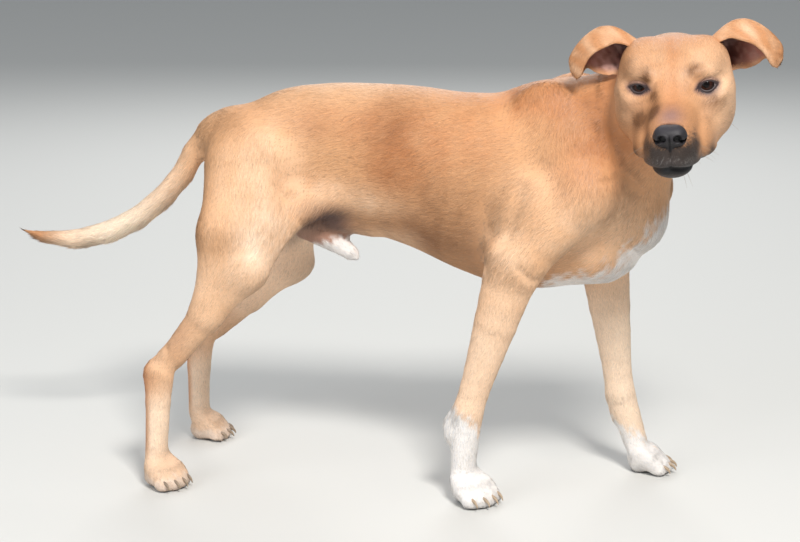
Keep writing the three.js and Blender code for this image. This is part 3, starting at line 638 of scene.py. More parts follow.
def closed_rows(rows):
    """Points and faces of rings of points, the first and last closed by a fan about its middle."""
    count, around = rows.shape[:2]
    points = np.concatenate([rows.reshape(-1, 3), rows[0].mean(0)[None], rows[-1].mean(0)[None]])
    quads = grid_faces(count, around)[:, [0, 3, 2, 1]]
    a = np.arange(around)
    b = (a + 1) % around
    pole, end = count * around, (count - 1) * around
    fans = [(j, i, pole) for i, j in zip(a, b)]
    fans += [(end + i, end + j, pole + 1) for i, j in zip(a, b)]
    return points, [tuple(q) for q in quads] + fans


def grid_faces(rows, around):
    """Quads of rows of points, each row a ring."""
    i, j = np.meshgrid(np.arange(rows - 1), np.arange(around), indexing="ij")
    k = (j + 1) % around
    return np.stack([i * around + j, (i + 1) * around + j, (i + 1) * around + k, i * around + k],
                    -1).reshape(-1, 4)


EAR_DEPTH = 3  # thickness of the flap
EAR_DROOP = {RIGHT: 5, LEFT: 0}  # turn down about the hinge, in degrees
EAR_HINGE = (50, 20)  # how far out and up the hinge is
EAR = [  # lower hind edge, wall, fold and front edge of the flap, from root to tip
    ((-64, 50, -8), (-76, 38, 14), (-62, 35, 29), (-46, 38, 28)),
    ((-62, 71, -1), (-78, 65, 27), (-60, 60, 51), (-42, 61, 41)),
    ((-60, 81, 0), (-76, 77, 32), (-58, 76, 57), (-36, 76, 40)),
    ((-58, 93, 5), (-71, 91, 35), (-56, 91, 54), (-34, 90, 35)),
    ((-54, 103, 13), (-64, 106, 30), (-53, 107, 43), (-36, 101, 24)),
    ((-53, 110, 6), (-59, 117, 17), (-52, 120, 26), (-39, 109, 9)),
    ((-50, 114, 3), (-54, 119, 6), (-50, 121, 11), (-44, 115, 4))]


def make_skin():
    """The body's skin: its net drawn onto the field at its depth, smoothed and given its relief."""
    mesh = rough_skin()
    refined(mesh, lambda p: near_head(to_head(p)))
    refined(mesh, lambda p: near_face(to_head(p)))
    refined(mesh, lambda p: near_eye(to_head(p), 15))
    p = points_of(mesh)
    edges = edges_of(mesh)
    p = on_field(p, skin_depth(p))
    tail = step(-262, -300, p[:, 0]) * step(240, 260, p[:, 2])
    p = smoothed(p, edges, 0.5 * tail, 12)
    p = smoothed(p, edges, 0.5 * (1 - near_head(to_head(p))), 4)
    put_points(mesh, p)
    q = to_head(p)
    rise = np.where(near_head(q), head_relief(q), 0)
    for height, line, width in FOLDS:
        rise += height * ridge(p, line, width)
    p = p + normals_of(mesh) * rise[:, None]
    q = to_head(p)
    for s in (RIGHT, LEFT):
        q = lid_shape(q, s)
    face = near_face(q) | (NOSE(q) < 3)
    q[:, 0] -= NOSE_SEAT * step(0.5, -2.5, NOSE(q))
    p[face] = from_head(q[face])
    p[:, 2] = np.maximum(p[:, 2], 0.0)
    put_points(mesh, p)
    return mesh


def skin_depth(p):
    """How deep the skin lies inside the field: most on the tail, least on the head and the feet."""
    x, _, z = p.T
    deep = COAT_DEPTH - near_head(to_head(p)) * 0.9 + 2.0 * step(-262, -330, x) * step(240, 260, z)
    return deep * step(4, 60, z) + 0.5 * step(4, 20, z)


def near_head(q):
    """Whether a point of the head's frame is on the head."""
    return (q[:, 0] > -100) & (q[:, 0] < 130) & (np.abs(q[:, 1]) < 90) & (np.abs(q[:, 2]) < 110)


def near_face(q):
    """Whether it is on the muzzle, lips or round the eyes."""
    front = (q[:, 0] > 2) & (q[:, 2] < -30) & (q[:, 2] > -90) & near_head(q)
    return front | near_eye(q, 24)


def near_eye(q, far):
    """Whether it is within far mm of an eye's axis, at the front."""
    x, y, z = q.T
    return (np.hypot(np.abs(y) - EYE_OUT - 1.5, z) < far) & (x > -12) & (x < 40)


# ---------------------------------------------------------------- markings and lie of the coat
def paint(r, g, b):
    """A colour given as screen values out of 255, as linear light."""
    c = np.array([r, g, b]) / 255
    return np.where(c <= 0.04045, c / 12.92, ((c + 0.055) / 1.055) ** 2.4)


RED, FAWN, PALE = paint(182, 117, 70), paint(202, 152, 109), paint(224, 184, 149)
CREAM, WHITE, SABLE = paint(236, 211, 186), paint(228, 223, 219), paint(136, 90, 54)
BLACK, SMOKE, ROSE = paint(24, 21, 22), paint(76, 66, 64), paint(168, 126, 114)
HOCK_BROWN, GROIN_BROWN_AND_SHADE, SOLE = paint(152, 108, 76), paint(74, 52, 48), paint(50, 42, 40)
LID_BROWN, LID_EDGE, LIP = paint(92, 70, 76), paint(46, 36, 40), paint(20, 17, 18)
EAR_PINK, EAR_DEEP_SKIN_AND_SHADE, EAR_FOLD = paint(170, 112, 96), paint(72, 30, 24), paint(206, 158, 146)
EYE_BROWN, EYE_RING, PUPIL_BLACK = paint(50, 25, 17), paint(24, 12, 10), paint(12, 8, 8)
EYE_WHITE, LEATHER, NOSTRIL_SHADE = paint(168, 150, 148), paint(34, 31, 34), paint(6, 5, 6)
LEATHER_PAINTED_HIGHLIGHT, HORN, HORN_ROOT = paint(58, 55, 61), paint(186, 164, 138), paint(84, 68, 58)
BRISTLE = paint(150, 124, 100)
TONES = [  # (x, z) place in the body, its reach, the colour laid on there and its share
    # back, loin and hip: the first tone, pale along the top of the back, is a painted sheen
    ((-60, 512), (150, 26), PALE, 0.75), ((90, 500), (60, 26), RED, 0.35),
    ((-60, 462), (150, 26), RED, 0.4), ((-91, 455), (24, 22), SABLE, 0.15),
    # flank and ribs: the faint sable tone at (60, 314), along the lowest ribs, is painted shade
    # under the body
    ((8, 455), (34, 36), RED, 0.7), ((8, 455), (30, 34), SABLE, 0.6),
    ((15, 412), (44, 36), RED, 0.8), ((15, 412), (44, 32), SABLE, 0.25),
    ((90, 440), (60, 40), RED, 0.45), ((80, 368), (75, 38), SABLE, 0.5),
    ((40, 330), (90, 26), SABLE, 0.7), ((60, 314), (120, 24), SABLE * 0.6, 0.4),
    # thigh and buttock: the narrow sable tone at (-236, 350) is painted shade along the thigh's
    # rear edge
    ((-145, 405), (40, 60), PALE, 0.75), ((-78, 376), (48, 18), CREAM, 0.25),
    ((-30, 362), (44, 16), PALE, 0.6), ((-182, 395), (34, 50), PALE, 0.5),
    ((-150, 300), (40, 60), CREAM, 0.75), ((-206, 352), (18, 50), PALE, 0.35),
    ((-236, 350), (13, 64), SABLE, 0.5), ((-200, 320), (16, 44), FAWN, 0.5),
    # shoulder and upper arm
    ((240, 350), (44, 60), PALE, 0.85), ((290, 340), (40, 50), PALE, 0.7),
    ((160, 325), (34, 40), PALE, 0.9), ((190, 400), (40, 30), PALE, 0.4),
    # withers and neck
    ((180, 500), (60, 26), RED, 0.85), ((262, 470), (46, 60), RED, 0.95),
    ((265, 478), (46, 50), SABLE, 0.75), ((300, 500), (40, 50), RED, 0.8),
    ((226, 420), (30, 40), RED, 0.3)]


def wobble(p, size, seed, waves=7):
    """Smooth noise between about -1 and 1: a sum of sines in random directions, size mm long."""
    rng = np.random.default_rng(seed)
    k = rng.normal(size=(waves, 3))
    k = k / np.linalg.norm(k, axis=1, keepdims=True) * rng.uniform(0.6, 1.6, (waves, 1))
    phase = rng.uniform(0, 2 * math.pi, waves)
    return np.sin(p / np.asarray(size, float) @ k.T * 2 * math.pi + phase).sum(1) / math.sqrt(waves)


def toned(colour, other, share):
    """colour moved towards other by a share for each point."""
    return colour + (other - colour) * np.clip(share, 0, 1)[:, None]


def layered(c, layers):
    """c with each (colour, share at each point) of layers laid on it, in order."""
    for colour, share in layers:
        c = toned(c, colour, share)
    return c


def plain(colour, count):
    """The same colour for count points."""
    return np.tile(colour, (count, 1))


def legs_share(near):
    """Share of being on a leg."""
    return np.maximum(near["fore"], near["hind"])


def body_tint(p, near):
    """Fawn coat: the broad tones of the trunk and neck with a painted sheen on the back and painted
    shade low on the body, pale legs, a dark groin partly of painted shade, pale tail.
    """
    x, y, z = p.T
    flat = p[:, [0, 2]]
    blur = wobble(p, 60, 1)
    streak = 0.5 * wobble(p * (0.4, 1, 1), 12, 2) + 0.5 * wobble(p, 34, 3)
    legs, fore, hind, tail = legs_share(near), near["fore"], near["hind"], near["tail"]
    facing = near["normal"]
    c = layered(plain(FAWN, len(p)), (
        (colour, share * spot(flat, at, size) * (1 + 0.25 * streak + 0.15 * blur) * (1 - tail))
        for at, size, colour, share in TONES))
    c = layered(c, [
        (PALE, legs * step(320, 270, z) * (0.75 + 0.15 * blur)),
        (CREAM, fore * step(300, 180, z) * (0.45 + 0.4 * (y > 0))),
        (CREAM, hind * step(150, 90, z) * 0.75),
        (CREAM, hind * (y > 0) * step(140, 200, z) * 0.4),
        (FAWN, hind * step(60, 30, z) * 0.35)])
    for s, _ in SIDES:
        hock, stifle = (np.array(HIND[s][k], float) for k in ("hock", "stifle"))
        calf = mix(hock, stifle, 0.38) - (14, 0, 0)
        c = layered(c, [(HOCK_BROWN, 0.55 * spot(p, calf, (26, 40, 44))),
                        (RED, 0.75 * spot(p, hock - (14, 0, 8), 18))])
    under = step(-0.2, -0.8, facing[:, 2]) * step(345, 320, z) * (1 - legs)
    return layered(c, [
        (RED, hind * step(-0.1, -0.75, facing[:, 0]) * step(180, 150, z) * step(30, 60, z) * 0.7),
        (PALE, under * step(60, 20, x) * 0.5),
        # painted shade: sable on the down-facing underside of the chest and fore belly
        (SABLE, under * step(20, 60, x) * step(230, 170, x) * 0.35),
        # the groin's dark bare skin, darkened further as painted shade in the hollow between belly
        # and thighs
        (GROIN_BROWN_AND_SHADE, groin_share(p) * (1 - near["sheath"])),
        # the sheath's own pinkish brown, darkened as painted shade under the belly
        (ROSE * 0.8, near["sheath"] * 0.9),
        (PALE, tail * step(-250, -300, x) * (0.85 + 0.15 * streak)),
        (CREAM * 1.1, tail * spot(flat, (-370, 315), (95, 70)) * 0.95),
        (PALE, tail * step(-270, -240, x) * 0.7),
        (mix(FAWN, RED, 0.5), tail * step(-440, -490, x))])


def white_marks(p, near):
    """Share of white hair: the breast, the fore socks, the hind toes, the sheath's lower side."""
    x, y, z = p.T
    ragged = 9 * wobble(p, 13, 5) + 5 * wobble(p, 5, 6)
    breast = near_line(p * (1, 0.8, 1),
                       [(326, 0, 338), (306, 0, 308), (262, 0, 272), (214, 0, 262)])
    white = step(40, 22, breast + ragged * 0.6) * step(1.0, 0.5, near["fore"])
    white = white * step(0.45, 0.0, near["normal"][:, 2]) * 0.92
    right = z - (112 - (x - FORE[RIGHT]["wrist"][0]) * 1.15)
    left = z - (66 - (x - FORE[LEFT]["wrist"][0]) * 0.5)
    fore = near["fore"] * step(200, 190, z)
    white = np.maximum(white, fore * (y < 0) * step(7, -7, right + ragged * 0.7))
    white = np.maximum(white, fore * (y > 0) * step(7, -7, left + ragged * 0.7))
    hind_toes = near["hind"] * step(22, 12, z + ragged * 0.3) * 0.35
    sheath = near["sheath"] * step(4, -4, z - 0.34 * x - 337 + ragged * 0.4)
    return np.maximum(np.maximum(white, hind_toes), sheath)


FACE_MARKS_AND_SHADE = [  # dark marks of the face, partly real marks and partly painted shade about the eyes and down the muzzle: place, reach, share
    ((8, -29, 13), (9, 5.5, 8), 1.1), ((-2, -38, 17), (9, 9, 5), 0.7),
    ((24, -21, -6), (12, 6, 10), 1.1), ((42, -20, -20), (17, 7, 15), 1.5),
    ((22, -34, -33), (20, 12, 13), 1.35), ((2, -48, -24), (14, 11, 8), 0.6),
    ((10, 24, 20), (11, 9, 8), 0.85), ((5, 43, -20), (15, 14, 11), 1.3),
    ((20, 36, -36), (10, 7, 8), 0.8), ((12, 14, -2), (11, 6, 10), 0.3),
    ((-8, 55, 24), (14, 12, 14), 0.35), ((-8, -55, 24), (14, 12, 14), 0.45),
    ((-6, 60, -36), (20, 10, 16), 0.3), ((-2, -58, -36), (20, 10, 24), 0.4)]


def head_tint(q, c):
    """The face: pale fawn with its left temple and cheek paler as painted light, dark marks about
    the eyes that are partly painted shade, a black and grizzled end to the muzzle.
    """
    x, y, z = q.T
    both = both_sides(q)
    blur, fleck = wobble(q, 24, 11), wobble(q, 4, 12)
    lip, mouth = lip_height(q), at_mouth(q)
    front = step(48, 72, x + 4 * blur) * step(38, 25, np.abs(y) + 2 * blur)
    front = front * step(-24, -42, z + 3 * fleck)
    white_hairs = step(0.4, 1.4, wobble(q, 2.6, 13))
    skull = 0.5 * step(34, 52, z) * step(-10, -60, x) + 0.4 * spot(q, (-10, 0, 34), (40, 9, 26))
    c = layered(mix(c, mix(FAWN, RED, 0.45) * 0.94, 0.9), [
        (PALE, 0.4 * spot(both, (10, 26, 26), (40, 30, 24)) * (1 + 0.4 * blur)),
        (PALE, 0.55 * spot(both, (-10, 56, -22), (40, 24, 34))),
        # painted light: the dog's left temple and cheek, on the lit side, paler than the right
        (PALE * 1.12, 0.8 * spot(q, (-10, 58, -8), (50, 26, 54))),
        (RED, skull), (RED, 0.3 * spot(both, (36, 0, 2), (40, 12, 18)))])
    # dark marks, partly painted shade about the eyes and down the muzzle
    c = layered(c, ((SABLE * 0.6, share * spot(q, at, size) * (1 + 0.25 * blur + 0.2 * fleck))
                    for at, size, share in FACE_MARKS_AND_SHADE))
    return layered(c, [
        (ROSE * 0.75, spot(both, (66, 0, -14), (24, 14, 13)) * 0.95),
        (SMOKE * 0.26, front * 0.97),
        (BLACK, 0.97 * spot(both, (39, 43, -67), (14, 7, 11))),
        (WHITE, 0.3 * front * white_hairs * step(19, 8, lip)),
        (SMOKE * 0.6, mouth * step(17, 3, lip) * step(-20, -8, lip) * step(34, 70, x) * 0.9),
        (SMOKE * 0.5, mouth * step(-6, -11, lip) * step(30, 60, x) * 0.8),
        (LID_BROWN, 0.65 * step(6.5, 1.5, eye_gap(q))),
        (BLACK, mouth * step(1.6, 0.0, lip) * step(-11.5, -8.5, lip))])


def eye_gap(q):
    """The lesser distance outside the openings of the two eyes, for points level with the lids."""
    gap = np.full(len(q), 1e3)
    for s in (RIGHT, LEFT):
        m = (q - eye_at(s)) @ eye_axes(s)
        here = np.where((m[:, 0] > -4) & (m[:, 0] < 40), slit(m[:, 1], m[:, 2], s), 1e3)
        gap = np.minimum(gap, here)
    return gap


GROUPS = ("head", "neck", "trunk", "tail", "fore", "hind", "sheath")
SHARE_FADE, LIE_FADE = 7, 9  # mm over which one group's share and lie fade into the next one's


def nearness(p, n):
    """Share of each group at every point, from 0 to 1, with the normals."""
    dist = {}
    body(p, dist)
    least = np.minimum.reduce(list(dist.values()))
    share = {g: np.exp(-(d - least) / SHARE_FADE) for g, d in dist.items()}
    total = sum(share.values())
    share = {g: w / total for g, w in share.items()}
    for g in ("fore", "hind"):
        share[g] = share[g + "_right"] + share[g + "_left"]
    return dict({g: share[g] for g in GROUPS}, normal=n)


def lie(p, n):
    """The way the hair lies: down each bone, back along the trunk, from the nose over the head."""
    x, _, z = p.T
    still = 0 * x
    ways, dists = [], []
    q = to_head(p)
    for group, field, _, bone in BODY:
        if bone is not None:
            way = np.tile(np.subtract(bone[1], bone[0]), (len(p), 1))
        elif group == "head":
            out = step(8, 40, np.abs(q[:, 1])) * np.sign(q[:, 1])
            rise = 0.9 * step(-30, -5, q[:, 2]) - 0.45 * step(-20, -60, q[:, 2])
            out = 0.75 * out * step(20, 0, np.abs(q[:, 2] - 5) - 60)
            around = unit(np.stack([still, q[:, 1], q[:, 2] + 29], 1))
            around = around * step(50, 90, q[:, 0])[:, None]
            way = (np.stack([still - 1, out, rise], 1) + 1.6 * around) @ HEAD_TURN.T
        elif group == "tail":
            i = np.abs(x[:, None] - (TAIL[:-1, 0] + TAIL[1:, 0]) / 2).argmin(1)
            way = (TAIL[1:, :3] - TAIL[:-1, :3])[i]
        elif group == "neck":
            way = np.stack([still - 0.8, still, -0.55 - 0.5 * step(0.2, 0.8, n[:, 0])], 1)
        elif group == "sheath":
            way = np.tile((0.9, 0, -0.5), (len(p), 1))
        else:
            front = step(225, 300, x)
            fold = bell(x + 105, 50) * step(430, 360, z)
            down = -0.28 - 0.9 * front - 0.9 * fold - 0.5 * step(-160, -225, x)
            way = np.stack([-1 + 0.7 * front, still, down * step(-0.9, -0.2, n[:, 2])], 1)
        ways.append(unit(way))
        dists.append(field(p))
    least = np.minimum.reduce(dists)
    total = np.zeros_like(p)
    for way, d in zip(ways, dists):
        total += way * np.exp(-(d - least) / LIE_FADE)[:, None]
    stray = 0.12 * np.stack([wobble(p, 70, seed) for seed in (21, 22, 23)], 1)
    return total + stray * np.linalg.norm(total, axis=1, keepdims=True)


HAIR = dict(trunk=8.5, leg=6.0, foot=4.0, head=4.4, muzzle=2.9, tail=10, ear=3.3)  # lengths, mm


def hair_size(p, n, near):
    """Length and width of a tuft in mm: short on the face and feet, longest under the tail."""
    x, _, z = p.T
    ahead = to_head(p)[:, 0]
    legs, head = legs_share(near), step(-105, -60, ahead) * near["head"]
    long = mix(HAIR["trunk"], HAIR["leg"], legs * step(330, 200, z))
    long = mix(long, HAIR["foot"], legs * step(60, 20, z))
    long = mix(long, HAIR["head"], head)
    long = mix(long, HAIR["muzzle"], head * step(10, 50, ahead))
    brush = HAIR["tail"] + 8 * step(0.2, -0.7, n[:, 2])
    long = mix(long, brush, near["tail"] * step(-250, -300, x))
    long = long * (1 - 0.55 * step(-480, -512, x))
    wrist_x, wrist_y, _ = FORE[RIGHT]["wrist"]
    feathered = spot(p, (wrist_x - 16, wrist_y, 110), (12, 30, 40))
    long = long + 6 * feathered * step(0.1, -0.7, n[:, 0])
    long = long + 6 * spot(p, (-90, 0, 350), (60, 90, 22))
    long = long + 2 * spot(p, (150, -85, 330), (30, 26, 60))
    long = mix(long, HAIR["leg"], near["sheath"])
    return long, 0.44 + 0.052 * long


# ---------------------------------------------------------------- coat
def roots_on(p, tri, density, rng):
    """Roots over the triangles by area times density: triangle, and shares of its corners."""
    a, b, c = (p[tri[:, k]] for k in range(3))
    area = np.linalg.norm(np.cross(b - a, c - a), axis=1) / 2
    reached = np.cumsum(area * density[tri].mean(1))
    count = int(reached[-1])
    face = np.minimum(np.searchsorted(reached, np.arange(count) + rng.random(count)), len(area) - 1)
    u, v = rng.random(count), rng.random(count)
    flip = u + v > 1
    u, v = np.where(flip, 1 - u, u), np.where(flip, 1 - v, v)
    return face, np.stack([1 - u - v, u, v], 1)


TUFT_FACES = np.array([(0, 2, 1), (0, 3, 2), (1, 2, 3), (0, 1, 3)])  # base edge, ridge and tip
LEAST_HEIGHT = 0.3  # of any hair over the ground
RIDGE_AT = 0.42  # share of its length at which a tuft is highest
SUNK = 0.06  # depth of its base in the skin, over its width
TIP_SHADES = (0.84, 0.84, 1.0, 1.08)  # from root to tip


def tuft_mesh(name, root, normal, way, long, wide, tint, uv, rng):
    """Joined tufts, each with a base edge under the skin, a ridge, and a tip along the way."""
    count = len(root)
    way = unit(way + rng.normal(0, 0.16, count)[:, None] * np.cross(normal, way))
    side = np.cross(normal, way)
    lift = rng.normal(0.026 + 0.006 * np.maximum(long - HAIR["trunk"], 0), 0.014)
    lift = np.clip(lift, 0.004, 0.12)[:, None]
    long = (long * rng.uniform(0.75, 1.2, count))[:, None]
    wide = (wide * rng.uniform(0.8, 1.2, count))[:, None]
    sunk = normal * SUNK * wide
    points = np.stack([root - side * wide / 2 - sunk, root + side * wide / 2 - sunk,
                       root + way * long * RIDGE_AT + sunk + normal * long * lift * 0.3,
                       root + way * long + normal * long * lift * 0.7 - sunk], 1)
    points[..., 2] = np.maximum(points[..., 2], LEAST_HEIGHT)
    faces = (np.arange(count)[:, None, None] * 4 + TUFT_FACES).reshape(-1, 3)
    mesh = bpy.data.meshes.new(name)
    mesh.vertices.add(count * 4)
    mesh.vertices.foreach_set("co", metres(points.reshape(-1, 3)))
    mesh.loops.add(len(faces) * 3)
    mesh.loops.foreach_set("vertex_index", faces.astype(np.int32).ravel())
    mesh.polygons.add(len(faces))
    mesh.polygons.foreach_set("loop_start", np.arange(0, len(faces) * 3, 3, dtype=np.int32))
    mesh.polygons.foreach_set("use_smooth", np.ones(len(faces), bool))
    mesh.update(calc_edges=True)
    shade = 1 + rng.normal(0, 0.11, (count, 1)) + rng.normal(0, 0.025, (count, 1)) * (1, 0, -1.4)
    along = np.array(TIP_SHADES)[None, :, None]
    put_tint(mesh, np.clip((tint * shade)[:, None] * along, 0.002, 0.95).reshape(-1, 3))
    patch = np.array([(-0.0015, -0.0015), (0.0015, -0.0015), (0, 0), (0, 0.0015)])
    layer = mesh.uv_layers.new(name="OFBake")
    layer.data.foreach_set("uv", (uv[:, None, None] + patch[TUFT_FACES]).astype(np.float32).ravel())
    shine = normal[:, None] + 0.12 * way[:, None] + 0.13 * rng.normal(size=(count, 1, 3))
    shine = unit(shine + np.array([-0.26, 0.26, 0, 0])[:, None] * side[:, None])
    shine = shine[np.arange(count)[:, None, None], TUFT_FACES]
    layer = mesh.attributes.new("custom_normal", "FLOAT_VECTOR", "CORNER")
    layer.data.foreach_set("vector", unit(shine).astype(np.float32).ravel())
    return mesh


def put_tint(mesh, colour, name="tint"):
    """Stores a linear colour, or a share, on each vertex."""
    rgba = np.ones((len(colour), 4), np.float32)
    rgba[:, :3] = colour if colour.ndim == 2 else colour[:, None]
    mesh.color_attributes.new(name, "FLOAT_COLOR", "POINT").data.foreach_set("color", rgba.ravel())


def shown(obj, material, slot, *nodes):
    """Finishes a piece: its material, body, and the solids it stands for. slot is not used."""
    obj.data.materials.clear()
    obj.data.materials.append(material)
    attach(obj, "root")
    if nodes:
        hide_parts(*nodes)
    return obj


# ---------------------------------------------------------------- materials
def node_of(tree, kind, inputs=(), **settings):
    """A node with its settings, and its sockets set or linked."""
    node = tree.nodes.new("ShaderNode" + kind)
    for key, value in settings.items():
        setattr(node, key, value)
    for key, value in dict(inputs).items():
        if isinstance(value, bpy.types.NodeSocket):
            tree.links.new(value, node.inputs[key])
        else:
            node.inputs[key].default_value = value
    return node


def surface(name, rough, vary, bump, grain, stretch=(1, 1, 1), patches=14, bare=0.0, **shader):
    """A material painted by the tint attribute.

    Colour is tint * (1 +- vary) over noise of two sizes, and roughness runs between the two of
    rough, towards bare where the attribute bare says so. The height is bump metres of noise, grain
    to a metre, with its axes scaled by stretch."""
    material = bpy.data.materials.new(name)
    material.use_nodes = True
    tree = material.node_tree
    out = tree.nodes["Principled BSDF"]
    place = node_of(tree, "TexCoord").outputs["Object"]
    tint = node_of(tree, "Attribute", attribute_name="tint").outputs["Color"]
    broad = node_of(tree, "TexNoise", {"Vector": place, "Scale": patches, "Detail": 3}).outputs[0]
    drawn = node_of(tree, "Mapping", {"Vector": place, "Scale": stretch}).outputs[0]
    fine = node_of(tree, "TexNoise", {"Vector": drawn, "Scale": grain, "Detail": 4}).outputs[0]
    both = node_of(tree, "Math", {0: broad, 1: fine}, operation="ADD").outputs[0]
    gain = node_of(tree, "MapRange", {"Value": both, 1: 0.6, 2: 1.4, 3: 1 - vary,
                                      4: 1 + vary}).outputs[0]
    colour = node_of(tree, "VectorMath", {0: tint, 1: gain}, operation="MULTIPLY").outputs[0]
    tree.links.new(colour, out.inputs["Base Color"])
    shine = node_of(tree, "MapRange", {"Value": fine, 1: 0.3, 2: 0.7, 3: rough[0],
                                       4: rough[1]}).outputs[0]
    if bare:
        share = node_of(tree, "Attribute", attribute_name="bare").outputs["Fac"]
        shine = node_of(tree, "Mix", {0: share, 2: shine, 3: bare}).outputs[0]
    tree.links.new(shine, out.inputs["Roughness"])
    height = node_of(tree, "Bump", {"Height": fine, "Strength": 1.0, "Distance": bump}).outputs[0]
    tree.links.new(height, out.inputs["Normal"])
    for key, value in shader.items():
        out.inputs[key.replace("_", " ")].default_value = value
    return material


# ---------------------------------------------------------------- eyes, nose, claws and whiskers
IRIS, PUPIL = 9.0, 4.0  # radii
GAZE = (0.954, 0.01, 0.262)  # the way the eyes look, in the head's frame
NOSE_HEART = (83, 0, -31)


def eyeball(s, rows=64, around=96):
    """A ball about the way it looks: R - 0.1 + 0.8 (1 - (t / 0.8)^2)^2 at the angle t from it."""
    t = np.linspace(0.004, 1, rows) ** 1.4 * (math.pi - 0.01)
    turn = np.linspace(0, 2 * math.pi, around, endpoint=False)
    ahead = unit(np.array(GAZE))
    across = unit(np.cross((0, 0, 1), ahead))
    up = np.cross(ahead, across)
    flat = np.cos(turn)[:, None] * across + np.sin(turn)[:, None] * up
    way = np.cos(t)[:, None, None] * ahead + np.sin(t)[:, None, None] * flat
    radius = EYE_RADIUS - 0.1 + 0.8 * np.clip(1 - (t / 0.8) ** 2, 0, 1) ** 2
    points = from_head((eye_at(s) + way * radius[:, None, None]).reshape(-1, 3))
    obj = mesh_object("eyeball", points, grid_faces(rows, around))
    r = np.repeat(EYE_RADIUS * np.sin(np.minimum(t, math.pi / 2)), around)
    angle = np.tile(turn, rows)
    fibre = sum(np.sin(k * angle + k * s + 0.25 * r * (k % 3)) / 3 for k in (11, 19, 31, 47))
    dark = step(PUPIL + 0.5, PUPIL - 0.3, r) + step(IRIS - 1.1, IRIS, r) * 0.8
    put_tint(obj.data, layered(plain(EYE_BROWN, len(r)), [
        (EYE_RING, step(4.2, IRIS, r) + 0.2 * fibre), (PUPIL_BLACK, dark),
        (EYE_WHITE, step(IRIS + 0.1, IRIS + 1.2, r))]))
    return obj


def nose_leather(rows=84, around=144):
    """Rays from the nose's heart, halved 22 times onto its field, less the nostrils and groove."""
    t = np.linspace(0.01, 1.8, rows)
    turn = np.linspace(0, 2 * math.pi, around, endpoint=False)
    way = np.stack([np.cos(t)[:, None] + 0 * turn, np.sin(t)[:, None] * np.cos(turn),
                    np.sin(t)[:, None] * np.sin(turn)], -1).reshape(-1, 3)
    near, far = np.zeros(len(way)), np.full(len(way), 46.0)
    for _ in range(22):
        half = (near + far) / 2
        inside = NOSE(NOSE_HEART + way * half[:, None]) < 0
        near, far = np.where(inside, half, near), np.where(inside, far, half)
    q = NOSE_HEART + way * near[:, None]
    side, z = np.abs(q[:, 1]), q[:, 2]
    front = step(90, 95, q[:, 0] + 0.35 * side)
    hole = np.hypot((side - 9.0) / 1.2, z + 29.0) - 3.7
    flat = np.stack([0 * side, side, z], 1)
    comma = near_line(flat, [(0, 10, -30), (0, 14.5, -33.5), (0, 18.0, -32)]) - 1.6
    hole = np.minimum(hole, comma)
    nostril = step(0.9, -0.9, hole)
    rim = bell(hole - 1.6, 1.5) * front
    groove = bell(q[:, 1], 0.9) * step(-24, -29, z) * front
    sunk = 5.5 * nostril * step(84, 90, q[:, 0] + 0.35 * side) + 1.1 * groove - 0.6 * rim
    sunk += 1.0 * bell(q[:, 1], 5) * step(-22, -14, z)
    q = q - way * sunk[:, None]
    obj = mesh_object("nose_leather", from_head(q), grid_faces(rows, around))
    # near black in the nostrils and the groove down the middle as painted shade; the top paler as a
    # painted highlight
    put_tint(obj.data, layered(plain(LEATHER, len(q)), [
        (NOSTRIL_SHADE, nostril + 0.7 * groove), (LEATHER_PAINTED_HIGHLIGHT, 0.6 * step(-26, -16, z))]))
    return obj


def tapered(path, radius, around=8, flat=1.0):
    """A closed tube along a path with a radius at each point, flat times as wide as it is high."""
    ahead = unit(np.gradient(path, axis=0))
    across = unit(np.cross(ahead, (0.0, 0.0, 1.0)))
    up = np.cross(across, ahead)
    turn = np.linspace(0, 2 * math.pi, around, endpoint=False)[None, :, None]
    ring = np.cos(turn) * across[:, None] * flat + np.sin(turn) * up[:, None]
    return closed_rows(path[:, None] + ring * radius[:, None, None])


def bend(a, b, c, count):
    """Points of the quadratic curve from a to c drawn towards b."""
    t = np.linspace(0, 1, count)[:, None]
    return (1 - t) ** 2 * a + 2 * t * (1 - t) * b + t**2 * c


def gathered(name, shapes):
    """One object of several (points, faces), as mesh_object takes them."""
    base, points, faces = 0, [], []
    for p, f in shapes:
        points.append(p)
        faces += [tuple(i + base for i in face) for face in f]
        base += len(p)
    return mesh_object(name, np.concatenate(points), faces)


CLAW_RADIUS, CLAW_ROWS = 2.7, 12


def claws():
    """A curved horn on each toe, pointing on and down, of radius R (1 - 0.82 t^2.2) along it."""
    shapes, tints = [], []
    t = np.linspace(0, 1, CLAW_ROWS)
    radius = CLAW_RADIUS * (1 - t ** 2.2 * 0.82)
    shade = np.append(np.repeat(np.linspace(0.25, 1, CLAW_ROWS), CLAW_ROWS), (0.25, 1))
    for legs, kind, dark in ((FORE, "fore", 0.35), (HIND, "hind", 0.75)):
        for s, _ in SIDES:
            toes, place = toes_of(legs[s], PAW[kind])
            for toe in toes:
                out, long = toe["out"], toe["long"]
                knots = ((long * 0.8, out, 13), (long + 5.5, out * 1.02, 14.5),
                         (long + 8, out * 1.03, 5))
                path = bend(*(np.array(place(*at), float) for at in knots), CLAW_ROWS)
                shapes.append(tapered(path, radius, CLAW_ROWS, 0.72))
                tints.append(toned(plain(HORN, len(shade)), HORN_ROOT, dark * (1.1 - 0.5 * shade)))
    obj = gathered("claws", shapes)
    put_tint(obj.data, np.concatenate(tints))
    return obj


